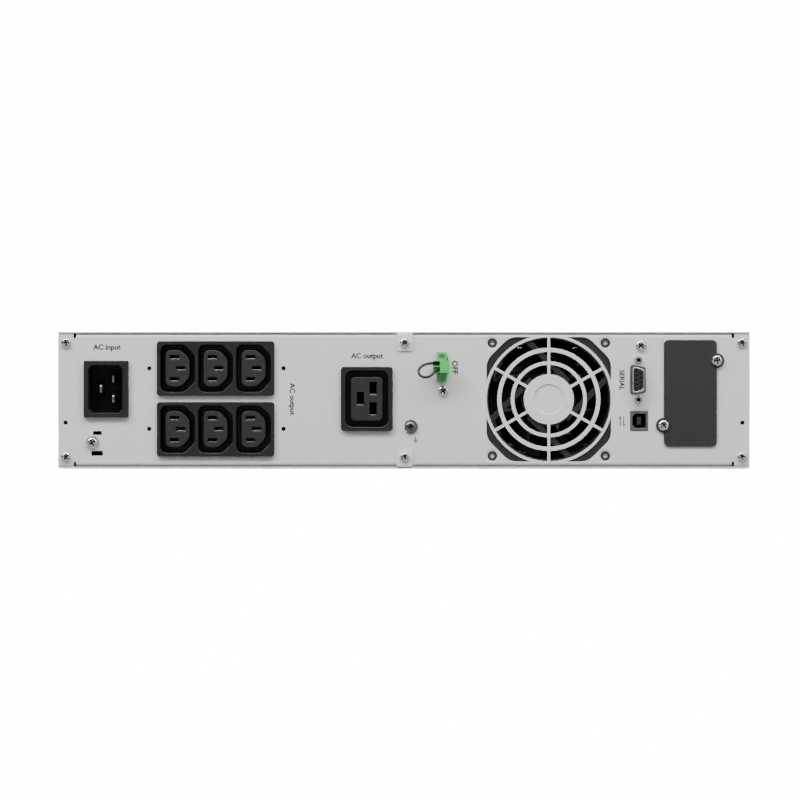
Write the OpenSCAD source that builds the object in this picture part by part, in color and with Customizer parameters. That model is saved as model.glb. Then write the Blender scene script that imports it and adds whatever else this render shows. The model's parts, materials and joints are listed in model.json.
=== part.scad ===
// Rackmount uninterruptible power supply, two rack units high, in separate pieces.
// X runs across the back to the right, Y runs from the back to the front, Z is up.
// The origin is the middle of the footprint, on the surface that the case stands on.

/* [Case] */
// Outside width of the case
body_w = 438; // [434:1:442]
// Outside height of the case
body_h = 86.5; // [86:0.5:88]
// Overall depth, from the serial port at the back to the buttons at the front
body_d = 600; // [590:5:660]
// Thickness of the folded steel sheets
sheet_t = 1; // [0.8:0.1:1.2]
// Width of the two centre tabs that fold over the rear panel
tab_w = 10; // [8:1:14]
// Height of the centre tabs
tab_h = 12.2; // [10:0.1:14]

/* [Power sockets] */
// Distance between neighbouring small sockets
socket_pitch = 24; // [24:0.1:25]
// Width of one bank of three small sockets
bank_w = 74.4; // [74:0.1:78]
// Height of one bank
bank_h = 34.5; // [34:0.1:36]
// How far the socket flanges stand out of the panel
flange_out = 2.6; // [1.5:0.1:3.5]
// Depth of the socket housings behind the panel
socket_depth = 24; // [22:1:30]

/* [Fan] */
// Outside width of the square fan frame
fan_size = 79.8; // [79:0.1:79.8]
// Distance between the fan's screws
fan_pitch = 71.5; // [71.5:0.1:71.6]
// Depth of the fan
fan_depth = 25; // [25:1:38]
// Number of blades
blade_count = 7; // [5:1:9]
// Width of the six spokes of the stamped grille
spoke_w = 1.8; // [1.5:0.1:3]

/* [Serial port] */
// How far the serial port's metal shell stands out of the panel
serial_out = 6; // [5:0.1:6.5]

/* [Battery drawer] */
// Length of one battery block, across the case
block_l = 151; // [150:1:151]
// Width of one battery block, along the case
block_w = 94; // [90:1:95]
// Height of one battery block as it lies
block_h = 65; // [60:1:65]

/* [Front] */
// Depth of the moulded front covers
front_cover_d = 32; // [28:1:40]
// Wall thickness of the moulded front covers
moulding_t = 2.5; // [2:0.1:3]
// Diameter of the four control buttons
button_d = 9; // [7:0.5:10]
// Distance between the buttons
button_pitch = 19; // [15:1:22]

/* [Hidden] */
$fn = 48;
round_fn = 96;
fit = 0.1;
gap = 0.3;
half_w = body_w / 2;
mid_z = body_h / 2;
back_y = -body_d / 2;
front_y = body_d / 2;

// Rear panel
panel_y = back_y + serial_out;
panel_in = panel_y + sheet_t;
panel_gap = 0.8;
panel_z0 = sheet_t + panel_gap;
panel_z1 = body_h - sheet_t - panel_gap;
panel_fold = 10;
corner_strip = 10.7;
notch_w = 1.6;
flange_w = corner_strip - notch_w / 2 - 0.2;
notch_h = 2.3;
tab_x = 0.5;
tab_y = panel_y - sheet_t - 0.05;

// Where the pieces sit on the rear panel: x, and height over the panel's middle
corner_x = half_w - 5.2;
corner_z = 36.1;
inlet_at = [-188.3, 6.9];
inlet_size = [28.4, 35.8];
inlet_cavity = [21.5, 30];
inlet_cavity_shift = -0.45;
inlet_body = [25.6, 33.8];
inlet_out = 3;
inlet_deep = 22;
inlet_floor = 4;
blade_size = [2, 8];
blade_places = [[4.0, 6.6], [4.0, -6.3], [-4.0, 0.1]];
bank_x = -119.1;
bank_z = [20.0, -18.5];
bank_body = [socket_pitch * 2 + 23.6, 31.6];
socket_cavity = [21.8, 29.8];
socket_core = [15.2, 23.1];
socket_slot = [5.7, 2.5];
slot_places = [[-2, 7], [-2, -7], [2, 0]];
socket_floor = 4;
core_sunk = 0.3;
large_at = [-23.5, 0.7];
large_size = [32.9, 40.6];
large_cavity = [27.1, 35.4];
large_core = [20, 27.7];
large_body = [29.8, 38];
large_slot = [4.4, 8.4];
large_slot_places = [[4, 6.5], [4, -6.5], [-4, 0]];
cover_hole_r = 1.35;
bracket_holes = [[-161.2, 20.0], [-76.2, 20.0], [-161.2, -18.3], [-76.2, -18.3]];
side_holes = [[-214.2, -14.4], [214.2, -14.4]];
tie_slots = [[-194.0, -20.9, 5.4, 2.4], [-194.2, -33.8, 7.2, 3.0]];
retainer_at = [-197.2, -27.0];
ground_at = [4.2, -16.9];
header_at = [23.9, 20.9];
ear_size = [6.4, 18.8];
header_flange = [8.2, 8.2];
header_body = [7.0, 7.4];
header_pocket = [5.6, 6.2];
plug_nose = [5.0, 5.6];
header_out = 2.5;
header_deep = 9;
ear_hole_r = 2.0;
ear_hole_z = 6.2;
plug_out = 13;
plug_step = 10.6;
plug_x = [18.3, 22.6, 28.5];
plug_z = [16.9, 24.8];
wire_z = [22.9, 19.3];
wire_channel = 2.8;
wire_r = 0.85;
screw_spots = [[24.9, 5.7], [150.0, 34.3]];
serial_at = [148.1, 12.6];
serial_shell_size = [7.7, 16.4];
serial_slope = 1.1;
serial_wall = 0.9;
jack_pitch = 25;
pin_pitch = 2.75;
pin_row = 2.84;
usb_at = [148.8, -13.2];
usb_size = [11, 12.4];
usb_opening = [8.5, 9];
usb_bevel = 1.9;
usb_deep = 16;
cover_at = [181.2, 4.3];
cover_size = [33.5, 67.4];
cover_ears = [[197.9, 25.0], [164.2, -16.0]];
ear_r = 4.7;
slot_cover_t = 1.5;
card_opening = [26.6, 60];
card_depth = 120;
board_behind = 10;
board_t = 1.6;

// Fan, seen from behind
fan_x = 91.7;
fan_z = mid_z + 0.4;
fan_bore_r = 38.2;
grille_r = 39.2;
hub_disc_r = 15.9;
emboss_radii = [9.8, 8.5];
emboss_depth = 0.5;
ring_radii = [[21.8, 24.1], [30.0, 32.7]];
outer_strip_r = 41.0;
octagon_flat = 39.4;
octagon_corner = 45.4;
octagon_round = 11;
dish_r = 4.6;
dish_depth = 0.5;
fan_seat_r = 3.15;
hub_r = 17.2;
motor_base_r = 15.8;
motor_base_t = 3;
strut_w = 3.7;
strut_l = 36;
blade_tip_r = 36.8;
blade_t = 1.6;
blade_tilt = 38;
shaft_r = 1.5;
running = 0.05;

// Battery drawer
chassis_front = front_y - front_cover_d;
flange_reach = 11;
tray_t = 1;
tray_w = 2 * block_l + 2 * tray_t + 0.4;
block_step = block_w + 6;
tray_l = 3 * block_step + 2 * tray_t + 2;
tray_x0 = -half_w + sheet_t + flange_reach + 0.8;
tray_x1 = tray_x0 + tray_w;
tray_y1 = chassis_front - 6;
tray_y0 = tray_y1 - tray_l;
runner_h = 1.5;
tray_z = sheet_t + runner_h + gap;
divider_x = tray_x1 + 8.6;
split_x = divider_x + 3.5;
cover_z0 = 1;
cover_z1 = body_h - 1;
cover_face = front_y - 1;
cover_back = chassis_front + gap;
screw_x = [-half_w + sheet_t + 6.2, divider_x - 4.2];
grip_size = [86, 30];
grip_x = -56;
grip_deep = 20;
louvre_h = 4.5;

// Display side of the front
panel_mid = (split_x + half_w) / 2;
window_size = [64, 36];
window_z = 54;
button_z = 20;
board_y = cover_face - 16;
switch_h = 5;
button_travel = 0.8;

// Jumper wire of the remote-off plug: x, distance out of the panel, height over the middle
jumper_route = [
    [22.6, 8.0, 22.9], [21.0, 8.0, 22.95], [18.8, 8.1, 23.1], [16.2, 8.6, 23.0],
    [13.7, 9.4, 22.5], [11.5, 10.4, 21.4], [9.9, 11.5, 19.9], [9.2, 12.5, 18.1],
    [9.6, 13.3, 16.2], [11.1, 13.8, 14.9], [13.3, 14.0, 14.3], [15.5, 13.8, 14.6],
    [17.3, 13.3, 15.7], [18.7, 12.5, 17.0], [19.9, 11.6, 18.2], [21.0, 10.7, 18.9],
    [21.8, 10.0, 19.25], [22.6, 9.6, 19.4]];

// ---------------------------------------------------------------- helpers

// Box between two opposite corners
module block(lo, hi) {
    translate(lo) cube(hi - lo);
}

// Extrudes a shape that is drawn in x and z, between two places along y
module along_y(y0, y1) {
    translate([0, y1, 0]) rotate([90, 0, 0]) linear_extrude(y1 - y0) children();
}

// Extrudes a shape that is drawn in y and z, between two places along x
module along_x(x0, x1) {
    translate([x0, 0, 0]) rotate([90, 0, 90]) linear_extrude(x1 - x0) children();
}

// Round bar along y
module bar_y(x, z, r, y0, y1) {
    translate([x, y0, z]) rotate([-90, 0, 0]) cylinder(r = r, h = y1 - y0);
}

// Cone along y, from radius ra at y0 to radius rb at y1
module cone_y(x, z, ra, rb, y0, y1) {
    translate([x, y0, z]) rotate([-90, 0, 0]) cylinder(r1 = ra, r2 = rb, h = y1 - y0);
}

// Moves to a place on the rear panel
module at(place) {
    translate([place[0], mid_z + place[1]]) children();
}

// Rectangle with round corners
module round_rect(size, r) {
    square([size[0] - 2 * r, size[1]], center = true);
    square([size[0], size[1] - 2 * r], center = true);
    for (sx = [-1, 1], sz = [-1, 1]) {
        translate([sx * (size[0] / 2 - r), sz * (size[1] / 2 - r)]) circle(r = r);
    }
}

// Points along an arc, counterclockwise from one angle to another
arc_step = 11.25;
function arc(centre, r, from, to) =
    [for (a = [from:arc_step:to]) centre + r * [cos(a), sin(a)]];

// Outline of a small socket: round corners on the left, softly cut corners on the right
module socket_outline(size, r, c, soft) {
    w = size[0] / 2;
    h = size[1] / 2;
    t = soft * tan(22.5);
    polygon(concat(
        arc([w - soft, h - c - t], soft, 0, 45), arc([w - c - t, h - soft], soft, 45, 90),
        arc([r - w, h - r], r, 90, 180), arc([r - w, r - h], r, 180, 270),
        arc([w - c - t, soft - h], soft, 270, 315), arc([w - soft, c + t - h], soft, 315, 360)));
}

// Outline of the serial port, with the wide side on the left
module serial_outline(size, r) {
    w = size[0] / 2 - r;
    h = size[1] / 2 - r;
    offset(r = r) polygon([[-w, -h], [w, -h + serial_slope], [w, h - serial_slope], [-w, h]]);
}

// Outline of the data port, with both left corners cut
module usb_outline(size, c) {
    w = size[0] / 2;
    h = size[1] / 2;
    polygon([[-w + c, -h], [w, -h], [w, h], [-w + c, h], [-w, h - c], [-w, -h + c]]);
}

// Screw that goes in along +y, with its head outside the place y
module rear_screw(place, y, head_r, head_h, shank_r, shank_l) {
    x = place[0];
    z = mid_z + place[1];
    bar_y(x, z, head_r, y - head_h * 0.6, y);
    cone_y(x, z, head_r * 0.66, head_r, y - head_h, y - head_h * 0.6);
    bar_y(x, z, shank_r, y, y + shank_l);
}

// ---------------------------------------------------------------- case

case_screw_spots = [
    [-corner_x, corner_z], [corner_x, corner_z], [-corner_x, -corner_z], [corner_x, -corner_z]];
tab_screw_spots = [[tab_x, corner_z], [tab_x, -corner_z]];
rail_y = [-220, 140];
ear_y = [226, 252];
ear_z = [18, 62];
side_hole_r = 2.1;
lid_screw_y = [-230, -20, 190];
lid_screw_z = body_h - 9;
csk_r = 2.9;
lid_flange_x = half_w - sheet_t - 0.2;

// Folded base: floor, both side walls, and the flanges that they end in
module chassis_base() {
    back = panel_in + 0.1;
    difference() {
        color("gainsboro") union() {
            block([-half_w, panel_y, 0], [half_w, chassis_front, sheet_t]);
            for (s = [-1, 1]) {
                x0 = s > 0 ? half_w - sheet_t : -half_w;
                block([x0, back, 0], [x0 + sheet_t, chassis_front, body_h - sheet_t - fit]);
                f0 = s > 0 ? half_w - flange_w : -half_w;
                block([f0, back, 0], [f0 + flange_w, back + sheet_t, body_h - sheet_t - fit]);
                g0 = s > 0 ? half_w - sheet_t - flange_reach : -half_w;
                block([g0, chassis_front - sheet_t, 0],
                      [g0 + sheet_t + flange_reach, chassis_front, body_h - sheet_t - fit]);
            }
            block([tab_x - tab_w / 2, tab_y, 0], [tab_x + tab_w / 2, panel_y, sheet_t]);
            along_y(tab_y, panel_y - 0.05) centre_tab();
        }
        for (p = concat(case_screw_spots, side_holes)) {
            bar_y(p[0], mid_z + p[1], 1.7, back - 1, back + 5);
        }
        bar_y(tab_x, mid_z - corner_z, 1.7, tab_y - 1, panel_y + 1);
        for (s = [-1, 1], y = ear_y, z = ear_z) side_hole(s, y, z, side_hole_r);
        for (s = [-1, 1], y = rail_y) side_hole(s, y, mid_z, side_hole_r);
        for (s = [-1, 1], y = lid_screw_y) {
            side_hole(s, y, lid_screw_z, 1.7);
            translate([s * (half_w + 0.01), y, lid_screw_z])
                rotate([0, -s * 90, 0]) cylinder(r1 = csk_r, r2 = 1.7, h = sheet_t + 0.01);
        }
        bar_y(screw_x[0], mid_z, 2.5, chassis_front - 3, chassis_front + 1);
    }
}

// Hole through one side wall
module side_hole(s, y, z, r) {
    translate([s * (half_w - 3), y, z]) rotate([0, s * 90, 0]) cylinder(r = r, h = 6);
}

// Tab that folds up over the rear panel from the lower edge
module centre_tab() {
    r = 1.8;
    translate([tab_x - tab_w / 2, 0]) square([tab_w, tab_h - r]);
    translate([tab_x - tab_w / 2 + r, 0]) square([tab_w - 2 * r, tab_h]);
    for (s = [-1, 1]) translate([tab_x + s * (tab_w / 2 - r), tab_h - r]) circle(r = r);
}

// Lid with short side flanges that lie inside the side walls
module top_cover() {
    difference() {
        color("gainsboro") union() {
            block([-half_w, panel_y, body_h - sheet_t], [half_w, chassis_front, body_h]);
            for (s = [-1, 1]) {
                x0 = s > 0 ? lid_flange_x - sheet_t : -lid_flange_x;
                block([x0, panel_y + 16, body_h - 17],
                      [x0 + sheet_t, chassis_front - 8, body_h - sheet_t]);
            }
            block([tab_x - tab_w / 2, tab_y, body_h - sheet_t],
                  [tab_x + tab_w / 2, panel_y, body_h]);
            along_y(tab_y, panel_y - 0.05) translate([0, body_h]) mirror([0, 1]) centre_tab();
        }
        bar_y(tab_x, mid_z + corner_z, 1.7, tab_y - 1, panel_y + 1);
        for (s = [-1, 1], y = lid_screw_y) side_hole(s, y, lid_screw_z, 1.5);
    }
}

// Everything that is cut through the rear panel
module panel_cutouts() {
    at(inlet_at) square(inlet_body + [0.4, 0.4], center = true);
    for (z = bank_z) at([bank_x, z]) square(bank_body + [0.4, 0.4], center = true);
    at(large_at) square(large_body + [0.4, 0.4], center = true);
    at([header_at[0] + 0.5, header_at[1]]) square(header_body + [0.4, 0.4], center = true);
    at(serial_at) serial_outline([10, 19], 1.8);
    for (s = [-1, 1]) at([serial_at[0], serial_at[1] + s * jack_pitch / 2]) circle(r = 1.7);
    at(usb_at) square(usb_size + [0.4, 0.4], center = true);
    at(cover_at) round_rect(card_opening, 2);
    for (p = tie_slots) at(p) square([p[2], p[3]], center = true);
    for (p = concat(bracket_holes, side_holes)) at(p) circle(r = cover_hole_r);
    for (p = concat(case_screw_spots, tab_screw_spots, screw_spots, cover_ears)) {
        at(p) circle(r = 1.7);
    }
    at(retainer_at) circle(r = 2.2);
    at(ground_at) circle(r = 2.2);
    for (sx = [-1, 1], sz = [-1, 1]) {
        translate([fan_x + sx * fan_pitch / 2, fan_z + sz * fan_pitch / 2]) circle(r = 2.2);
    }
    for (sx = [-1, 1], z = [panel_z0 - 1, panel_z1 - notch_h]) {
        translate([sx * (half_w - corner_strip) - notch_w / 2, z]) square([notch_w, notch_h + 1]);
    }
}

// Open parts of the stamped fan grille
module grille_openings() {
    translate([fan_x, fan_z]) difference() {
        union() {
            circle(r = grille_r, $fn = round_fn);
            difference() {
                rounded_octagon();
                circle(r = outer_strip_r, $fn = round_fn);
            }
        }
        circle(r = hub_disc_r, $fn = round_fn);
        for (ring = ring_radii) {
            difference() {
                circle(r = ring[1], $fn = round_fn);
                circle(r = ring[0], $fn = round_fn);
            }
        }
        for (a = [30:60:330]) rotate(a) translate([0, -spoke_w / 2]) square([grille_r + 1, spoke_w]);
    }
}

// Outline of the fan's opening: an octagon with round corners
module rounded_octagon() {
    f = octagon_flat;
    c = octagon_corner * sqrt(2) - f;
    r = octagon_round;
    t = r * tan(22.5);
    d = t / sqrt(2);
    for (sx = [-1, 1]) {
        scale([sx, 1]) polygon([[0, -f], [c - t, -f], [c + d, -f + d], [f - d, -c - d], [f, -c + t],
                                [f, c - t], [f - d, c + d], [c + d, f - d], [c - t, f], [0, f]]);
        for (sz = [-1, 1]) {
            translate([sx * (c - t), sz * (f - r)]) circle(r = r);
            translate([sx * (f - r), sz * (c - t)]) circle(r = r);
        }
    }
}

// Rear panel: a plate with its upper and lower edges folded forwards
module rear_panel() {
    fold_w = 2 * (half_w - corner_strip - notch_w / 2);
    color("silver") difference() {
        union() {
            along_y(panel_y, panel_in) difference() {
                translate([0, mid_z]) round_rect([body_w, panel_z1 - panel_z0], 1.4);
                panel_cutouts();
                grille_openings();
            }
            for (z = [panel_z0, panel_z1 - sheet_t]) {
                block([-fold_w / 2, panel_in - 0.01, z], [fold_w / 2, panel_y + panel_fold, z + sheet_t]);
            }
        }
        for (sx = [-1, 1], sz = [-1, 1]) {
            x = fan_x + sx * fan_pitch / 2;
            z = fan_z + sz * fan_pitch / 2;
            cone_y(x, z, dish_r, fan_seat_r, panel_y - 0.01, panel_y + dish_depth);
            cone_y(x, z, fan_seat_r, 2.2, panel_y + dish_depth - 0.01, panel_in + 0.01);
        }
        cone_y(fan_x, fan_z, emboss_radii[0], emboss_radii[1], panel_y - 0.01, panel_y + emboss_depth);
    }
}

// Wall between the battery bay and the display side
module bay_side_wall() {
    z1 = body_h - sheet_t - gap;
    difference() {
        color("lightgrey") union() {
            block([divider_x, tray_y0 - 10, sheet_t], [divider_x + 1, chassis_front, z1]);
            block([divider_x - 8, chassis_front - sheet_t, sheet_t],
                  [divider_x, chassis_front, z1]);
        }
        bar_y(screw_x[1], mid_z, 2.5, chassis_front - 3, chassis_front + 1);
    }
}

// Wall behind the battery bay
module bay_rear_wall() {
    color("lightgrey") difference() {
        block([-half_w + sheet_t, tray_y0 - 9, sheet_t],
              [divider_x, tray_y0 - 8, body_h - 18]);
        block([-76, tray_y0 - 12, 22], [-36, tray_y0 - 5, 48]);
    }
}

// Two nylon strips that the drawer slides on
module drawer_runners() {
    for (x = [tray_x0 + 12, tray_x1 - 24]) {
        color("white") block([x, tray_y0 + 2, sheet_t], [x + 12, chassis_front - 6, sheet_t + runner_h]);
    }
}

// ---------------------------------------------------------------- mains sockets

// Shape of the inlet's cavity
module inlet_cavity_outline() {
    w = inlet_cavity[0] / 2;
    h = inlet_cavity[1] / 2;
    c = 2.2;
    translate([inlet_cavity_shift, 0])
        polygon([[-w + c, -h], [w - c, -h], [w, -h + c], [w, h - c],
                 [w - c, h], [-w + c, h], [-w, h - c], [-w, -h + c]]);
}

// Mains inlet, a square flange with a deep cavity
module inlet_housing() {
    color("#2b2b2c") difference() {
        union() {
            along_y(panel_y - inlet_out, panel_y) at(inlet_at) round_rect(inlet_size, 0.6);
            along_y(panel_y, panel_y + inlet_deep + inlet_floor)
                at(inlet_at) square(inlet_body, center = true);
        }
        along_y(panel_y - inlet_out - 1, panel_y + inlet_deep) at(inlet_at) inlet_cavity_outline();
        along_y(panel_y + inlet_deep - 1, panel_y + inlet_deep + inlet_floor + 1)
            at(inlet_at) for (p = blade_places) translate(p) square(blade_size, center = true);
    }
}

// Three flat blades of the inlet
module inlet_pins() {
    for (p = blade_places) {
        color("#c9c6bd") along_y(panel_y + 4, panel_y + inlet_deep + inlet_floor + 8)
            at(inlet_at) translate(p) square(blade_size, center = true);
    }
}

// Moulded frame of three small sockets
module outlet_bank(z) {
    color("#353434") difference() {
        union() {
            along_y(panel_y - flange_out, panel_y) at([bank_x, z]) round_rect([bank_w, bank_h], 2);
            along_y(panel_y, panel_y + socket_depth) at([bank_x, z]) square(bank_body, center = true);
        }
        for (i = [-1:1]) {
            along_y(panel_y - flange_out - 1, panel_y + socket_depth - socket_floor)
                at([bank_x + i * socket_pitch, z]) socket_outline(socket_cavity, 4, 6.5, 5);
            along_y(panel_y, panel_y + socket_depth + 1)
                at([bank_x + i * socket_pitch, z]) slots(slot_places, socket_slot);
        }
    }
}

// A group of contact slots
module slots(places, size) {
    for (p = places) translate(p) square(size, center = true);
}

module outlet_bank_upper() {
    outlet_bank(bank_z[0]);
}

module outlet_bank_lower() {
    outlet_bank(bank_z[1]);
}

// Raised middles of the six small sockets, with their contact slots
module outlet_inserts() {
    for (z = bank_z, i = [-1:1]) {
        color("#474645") along_y(panel_y - flange_out + core_sunk, panel_y + socket_depth - socket_floor)
            at([bank_x + i * socket_pitch, z]) difference() {
                socket_outline(socket_core, 3.8, 5.6, 6.5);
                slots(slot_places, socket_slot);
            }
    }
}

// Spring contacts along the lower side of every slot
module outlet_contacts() {
    front = panel_y - 1;
    back = panel_y + socket_depth + 6;
    strip = [socket_slot[0] - 0.1, 0.6];
    large_strip = [large_slot[0] - 0.1, 0.9];
    for (z = bank_z, i = [-1:1], p = slot_places) {
        color("#b59a5a") along_y(front, back)
            at([bank_x + i * socket_pitch, z]) on_floor(p, socket_slot, strip);
    }
    for (p = large_slot_places) {
        color("#b59a5a") along_y(front, back) at(large_at) on_floor(p, large_slot, large_strip);
    }
}

// Strip that lies on the lower side of a slot
module on_floor(p, slot_size, strip) {
    translate([p[0], p[1] - slot_size[1] / 2 + strip[1] / 2 + 0.02]) square(strip, center = true);
}

// Frame of the large socket
module large_outlet_housing() {
    color("#353434") difference() {
        union() {
            along_y(panel_y - flange_out - 0.4, panel_y) at(large_at) round_rect(large_size, 2);
            along_y(panel_y, panel_y + socket_depth) at(large_at) square(large_body, center = true);
        }
        along_y(panel_y - flange_out - 2, panel_y + socket_depth - socket_floor)
            at(large_at) round_rect(large_cavity, 4.5);
        along_y(panel_y, panel_y + socket_depth + 1) at(large_at) slots(large_slot_places, large_slot);
    }
}

// Raised middle of the large socket
module large_outlet_insert() {
    color("#474645") along_y(panel_y - flange_out, panel_y + socket_depth - socket_floor)
        at(large_at) difference() {
            round_rect(large_core, 3);
            slots(large_slot_places, large_slot);
        }
}

// ---------------------------------------------------------------- small ports

// Fixed half of the remote-off connector, with two ears
module remote_header() {
    centre = [header_at[0] + 0.5, header_at[1]];
    difference() {
        color("#4fae63") union() {
            along_y(panel_y - header_out, panel_y) at(header_at) square(ear_size, center = true);
            along_y(panel_y - header_out, panel_y) at(centre) square(header_flange, center = true);
            along_y(panel_y, panel_y + header_deep) at(centre) square(header_body, center = true);
        }
        along_y(panel_y - header_out - 1, panel_y + header_deep - 2)
            at(centre) square(header_pocket, center = true);
        for (s = [-1, 1]) {
            bar_y(header_at[0], mid_z + header_at[1] + s * ear_hole_z, ear_hole_r,
                  panel_y - header_out - 1, panel_y + 1);
        }
    }
    for (z = wire_z) {
        color("#4fae63") bar_y(centre[0], mid_z + z, 0.5, panel_y, panel_y + header_deep - 1.9);
    }
}

// Plug of the remote-off connector, which pulls straight off
module remote_plug() {
    face = panel_y - plug_out;
    step = panel_y - plug_step;
    seat = panel_y - header_out - gap;
    centre = [header_at[0] + 0.5, header_at[1]];
    color("#63c877") difference() {
        union() {
            block([plug_x[1], face, mid_z + plug_z[0]], [plug_x[2], seat, mid_z + plug_z[1]]);
            block([plug_x[0], step, mid_z + plug_z[0]], [plug_x[1], seat, mid_z + plug_z[1]]);
            along_y(seat, panel_y + header_deep - 3) at(centre) square(plug_nose, center = true);
        }
        for (z = wire_z) {
            block([plug_x[0] - 1, step - 1, mid_z + z - wire_channel / 2],
                  [plug_x[1], panel_y - 8 + wire_channel / 2, mid_z + z + wire_channel / 2]);
            block([centre[0] - 0.9, panel_y - 2, mid_z + z - 0.9],
                  [centre[0] + 0.9, panel_y + header_deep, mid_z + z + 0.9]);
        }
    }
}

// Short wire that joins the plug's two terminals
function jumper_point(i) =
    [jumper_route[i][0], panel_y - jumper_route[i][1], mid_z + jumper_route[i][2]];
function unit(v) = v / norm(v);
function heading(i) =
    let (n = len(jumper_route) - 1)
    unit(i == 0 || i == n ? [i == 0 ? -1 : 1, 0, 0] : jumper_point(i + 1) - jumper_point(i - 1));
function ring(i, sides) =
    let (t = heading(i), u = unit(cross(t, [0, 1, 0.2])), v = cross(t, u))
    [for (k = [0:sides - 1])
        jumper_point(i) + wire_r * (cos(k * 360 / sides) * u + sin(k * 360 / sides) * v)];

module jumper_wire() {
    sides = 8;
    n = len(jumper_route);
    points = [for (i = [0:n - 1], p = ring(i, sides)) p];
    skin = [for (i = [0:n - 2], k = [0:sides - 1], half = [0, 1])
        let (a = i * sides + k, b = i * sides + (k + 1) % sides)
        half == 0 ? [a, b, b + sides] : [a, b + sides, a + sides]];
    start = [for (k = [sides - 1:-1:0]) k];
    end = [for (k = [0:sides - 1]) (n - 1) * sides + k];
    color("#151515") polyhedron(points, concat(skin, [start, end]), convexity = 4);
}

// Drawn metal shell of the serial port, with its mounting flange behind the panel
module serial_shell() {
    inner = serial_shell_size - [2, 2] * serial_wall;
    difference() {
        color("#c8c2b2") union() {
            along_y(back_y, panel_y + 2.4) at(serial_at) serial_outline(serial_shell_size, 1.8);
            along_y(panel_in + fit, panel_y + 2.4) at(serial_at) square([12, 30.8], center = true);
        }
        along_y(back_y - 1, panel_y + 4) at(serial_at) serial_outline(inner, 1.4);
        for (s = [-1, 1]) {
            bar_y(serial_at[0], mid_z + serial_at[1] + s * jack_pitch / 2, 1.6, panel_y, panel_y + 4);
        }
    }
}

// Insulator of the serial port with nine contact holes
module serial_insert() {
    inner = serial_shell_size - [2, 2] * (serial_wall + 0.05);
    difference() {
        color("#18181c") along_y(back_y + 0.4, panel_y + board_behind)
            at(serial_at) serial_outline(inner, 1.35);
        for (i = [-2:2]) serial_hole(-pin_row / 2, i * pin_pitch);
        for (i = [-1.5:1:1.5]) serial_hole(pin_row / 2, i * pin_pitch);
    }
}

module serial_hole(dx, dz) {
    bar_y(serial_at[0] + dx, mid_z + serial_at[1] + dz, 0.55, back_y - 1, panel_y + 3);
}

// Two hexagonal jack screws with threaded bores
module jack_screws() {
    for (s = [-1, 1]) {
        x = serial_at[0];
        z = mid_z + serial_at[1] + s * jack_pitch / 2;
        color("#bdb8a6") difference() {
            union() {
                translate([x, panel_y - 5.2, z]) rotate([-90, 30, 0]) cylinder(d = 5.5, h = 5.2, $fn = 6);
                bar_y(x, z, 1.5, panel_y - 0.4, panel_y + 8);
            }
            bar_y(x, z, 1.2, panel_y - 6, panel_y - 0.6);
        }
    }
}

// Folded metal shell of the data port
module usb_shell() {
    color("#8f8f8d") difference() {
        along_y(panel_y - 0.6, panel_y + usb_deep) at(usb_at) square(usb_size, center = true);
        along_y(panel_y - 2, panel_y + usb_deep - 1) at(usb_at) usb_outline(usb_opening, usb_bevel);
    }
}

// Plastic tongue inside the data port
module usb_tongue() {
    color("#3f3f3f") along_y(panel_y + 1, panel_y + usb_deep - 1)
        at(usb_at) square([2.6, 5], center = true);
}

// Circuit board behind the small ports
module comm_board() {
    y0 = panel_y + board_behind;
    difference() {
        color("#1f6b45") block([134, y0, mid_z - 26], [163.5, y0 + board_t, mid_z + 29]);
        along_y(y0 - 1, y0 + board_t + 1) at(usb_at) square(usb_size + [0.6, 0.6], center = true);
    }
}

// Cover plate over the expansion slot, with two round ears
module slot_cover() {
    difference() {
        color("#343333") along_y(panel_y - slot_cover_t, panel_y) union() {
            at(cover_at) round_rect(cover_size, 3);
            for (p = cover_ears) at(p) circle(r = ear_r);
        }
        for (p = cover_ears) bar_y(p[0], mid_z + p[1], 1.7, panel_y - 3, panel_y + 1);
    }
}

// Two grooved rails for a card in the expansion slot
module card_guides() {
    y0 = panel_in + 6;
    for (s = [-1, 1]) {
        z = mid_z + cover_at[1] + s * (card_opening[1] / 2 + 2.2);
        color("#d8d8d4") difference() {
            block([cover_at[0] - 6, y0, z - 2], [cover_at[0] + 6, y0 + card_depth, z + 2]);
            block([cover_at[0] - 1, y0 - 1, s > 0 ? z - 3 : z],
                  [cover_at[0] + 1, y0 + card_depth - 4, s > 0 ? z : z + 3]);
        }
    }
}

// ---------------------------------------------------------------- fasteners

screw_head_h = 2.2;
nut_r = 3.4;
nut_h = 2.6;

// Six screws at the corners and on the two tabs
module case_screws() {
    for (p = case_screw_spots) {
        color("#d9d8d2") rear_screw(p, panel_y, 2.9, screw_head_h, 1.5, 7);
    }
    for (p = tab_screw_spots) {
        color("#d9d8d2") rear_screw(p, tab_y, 2.9, screw_head_h, 1.5, 8);
    }
}

// Larger screws: two that hold brackets, two that hold the slot cover
module panel_screws() {
    for (p = screw_spots) {
        color("#d9d8d2") rear_screw(p, panel_y, 3.15, screw_head_h, 1.5, 7);
    }
    for (p = cover_ears) {
        color("#d9d8d2") rear_screw(p, panel_y - slot_cover_t, 3.15, screw_head_h, 1.5, 8);
    }
}

// Flanged screw beside the slots for a cord tie
module retainer_screw() {
    color("#d9d8d2") union() {
        bar_y(retainer_at[0], mid_z + retainer_at[1], 4.2, panel_y - 0.8, panel_y);
        rear_screw(retainer_at, panel_y - 0.8, 3.3, 2.4, 2, 9);
    }
}

// Earthing screw
module ground_screw() {
    color("#a9aaa8") rear_screw(ground_at, panel_y - 1, 3.25, 2.3, 2, 10);
}

// Serrated washer under the earthing screw
module ground_washer() {
    color("#b4b5b3") difference() {
        bar_y(ground_at[0], mid_z + ground_at[1], 4.85, panel_y - 1, panel_y);
        bar_y(ground_at[0], mid_z + ground_at[1], 2.1, panel_y - 2, panel_y + 1);
    }
}

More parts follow.
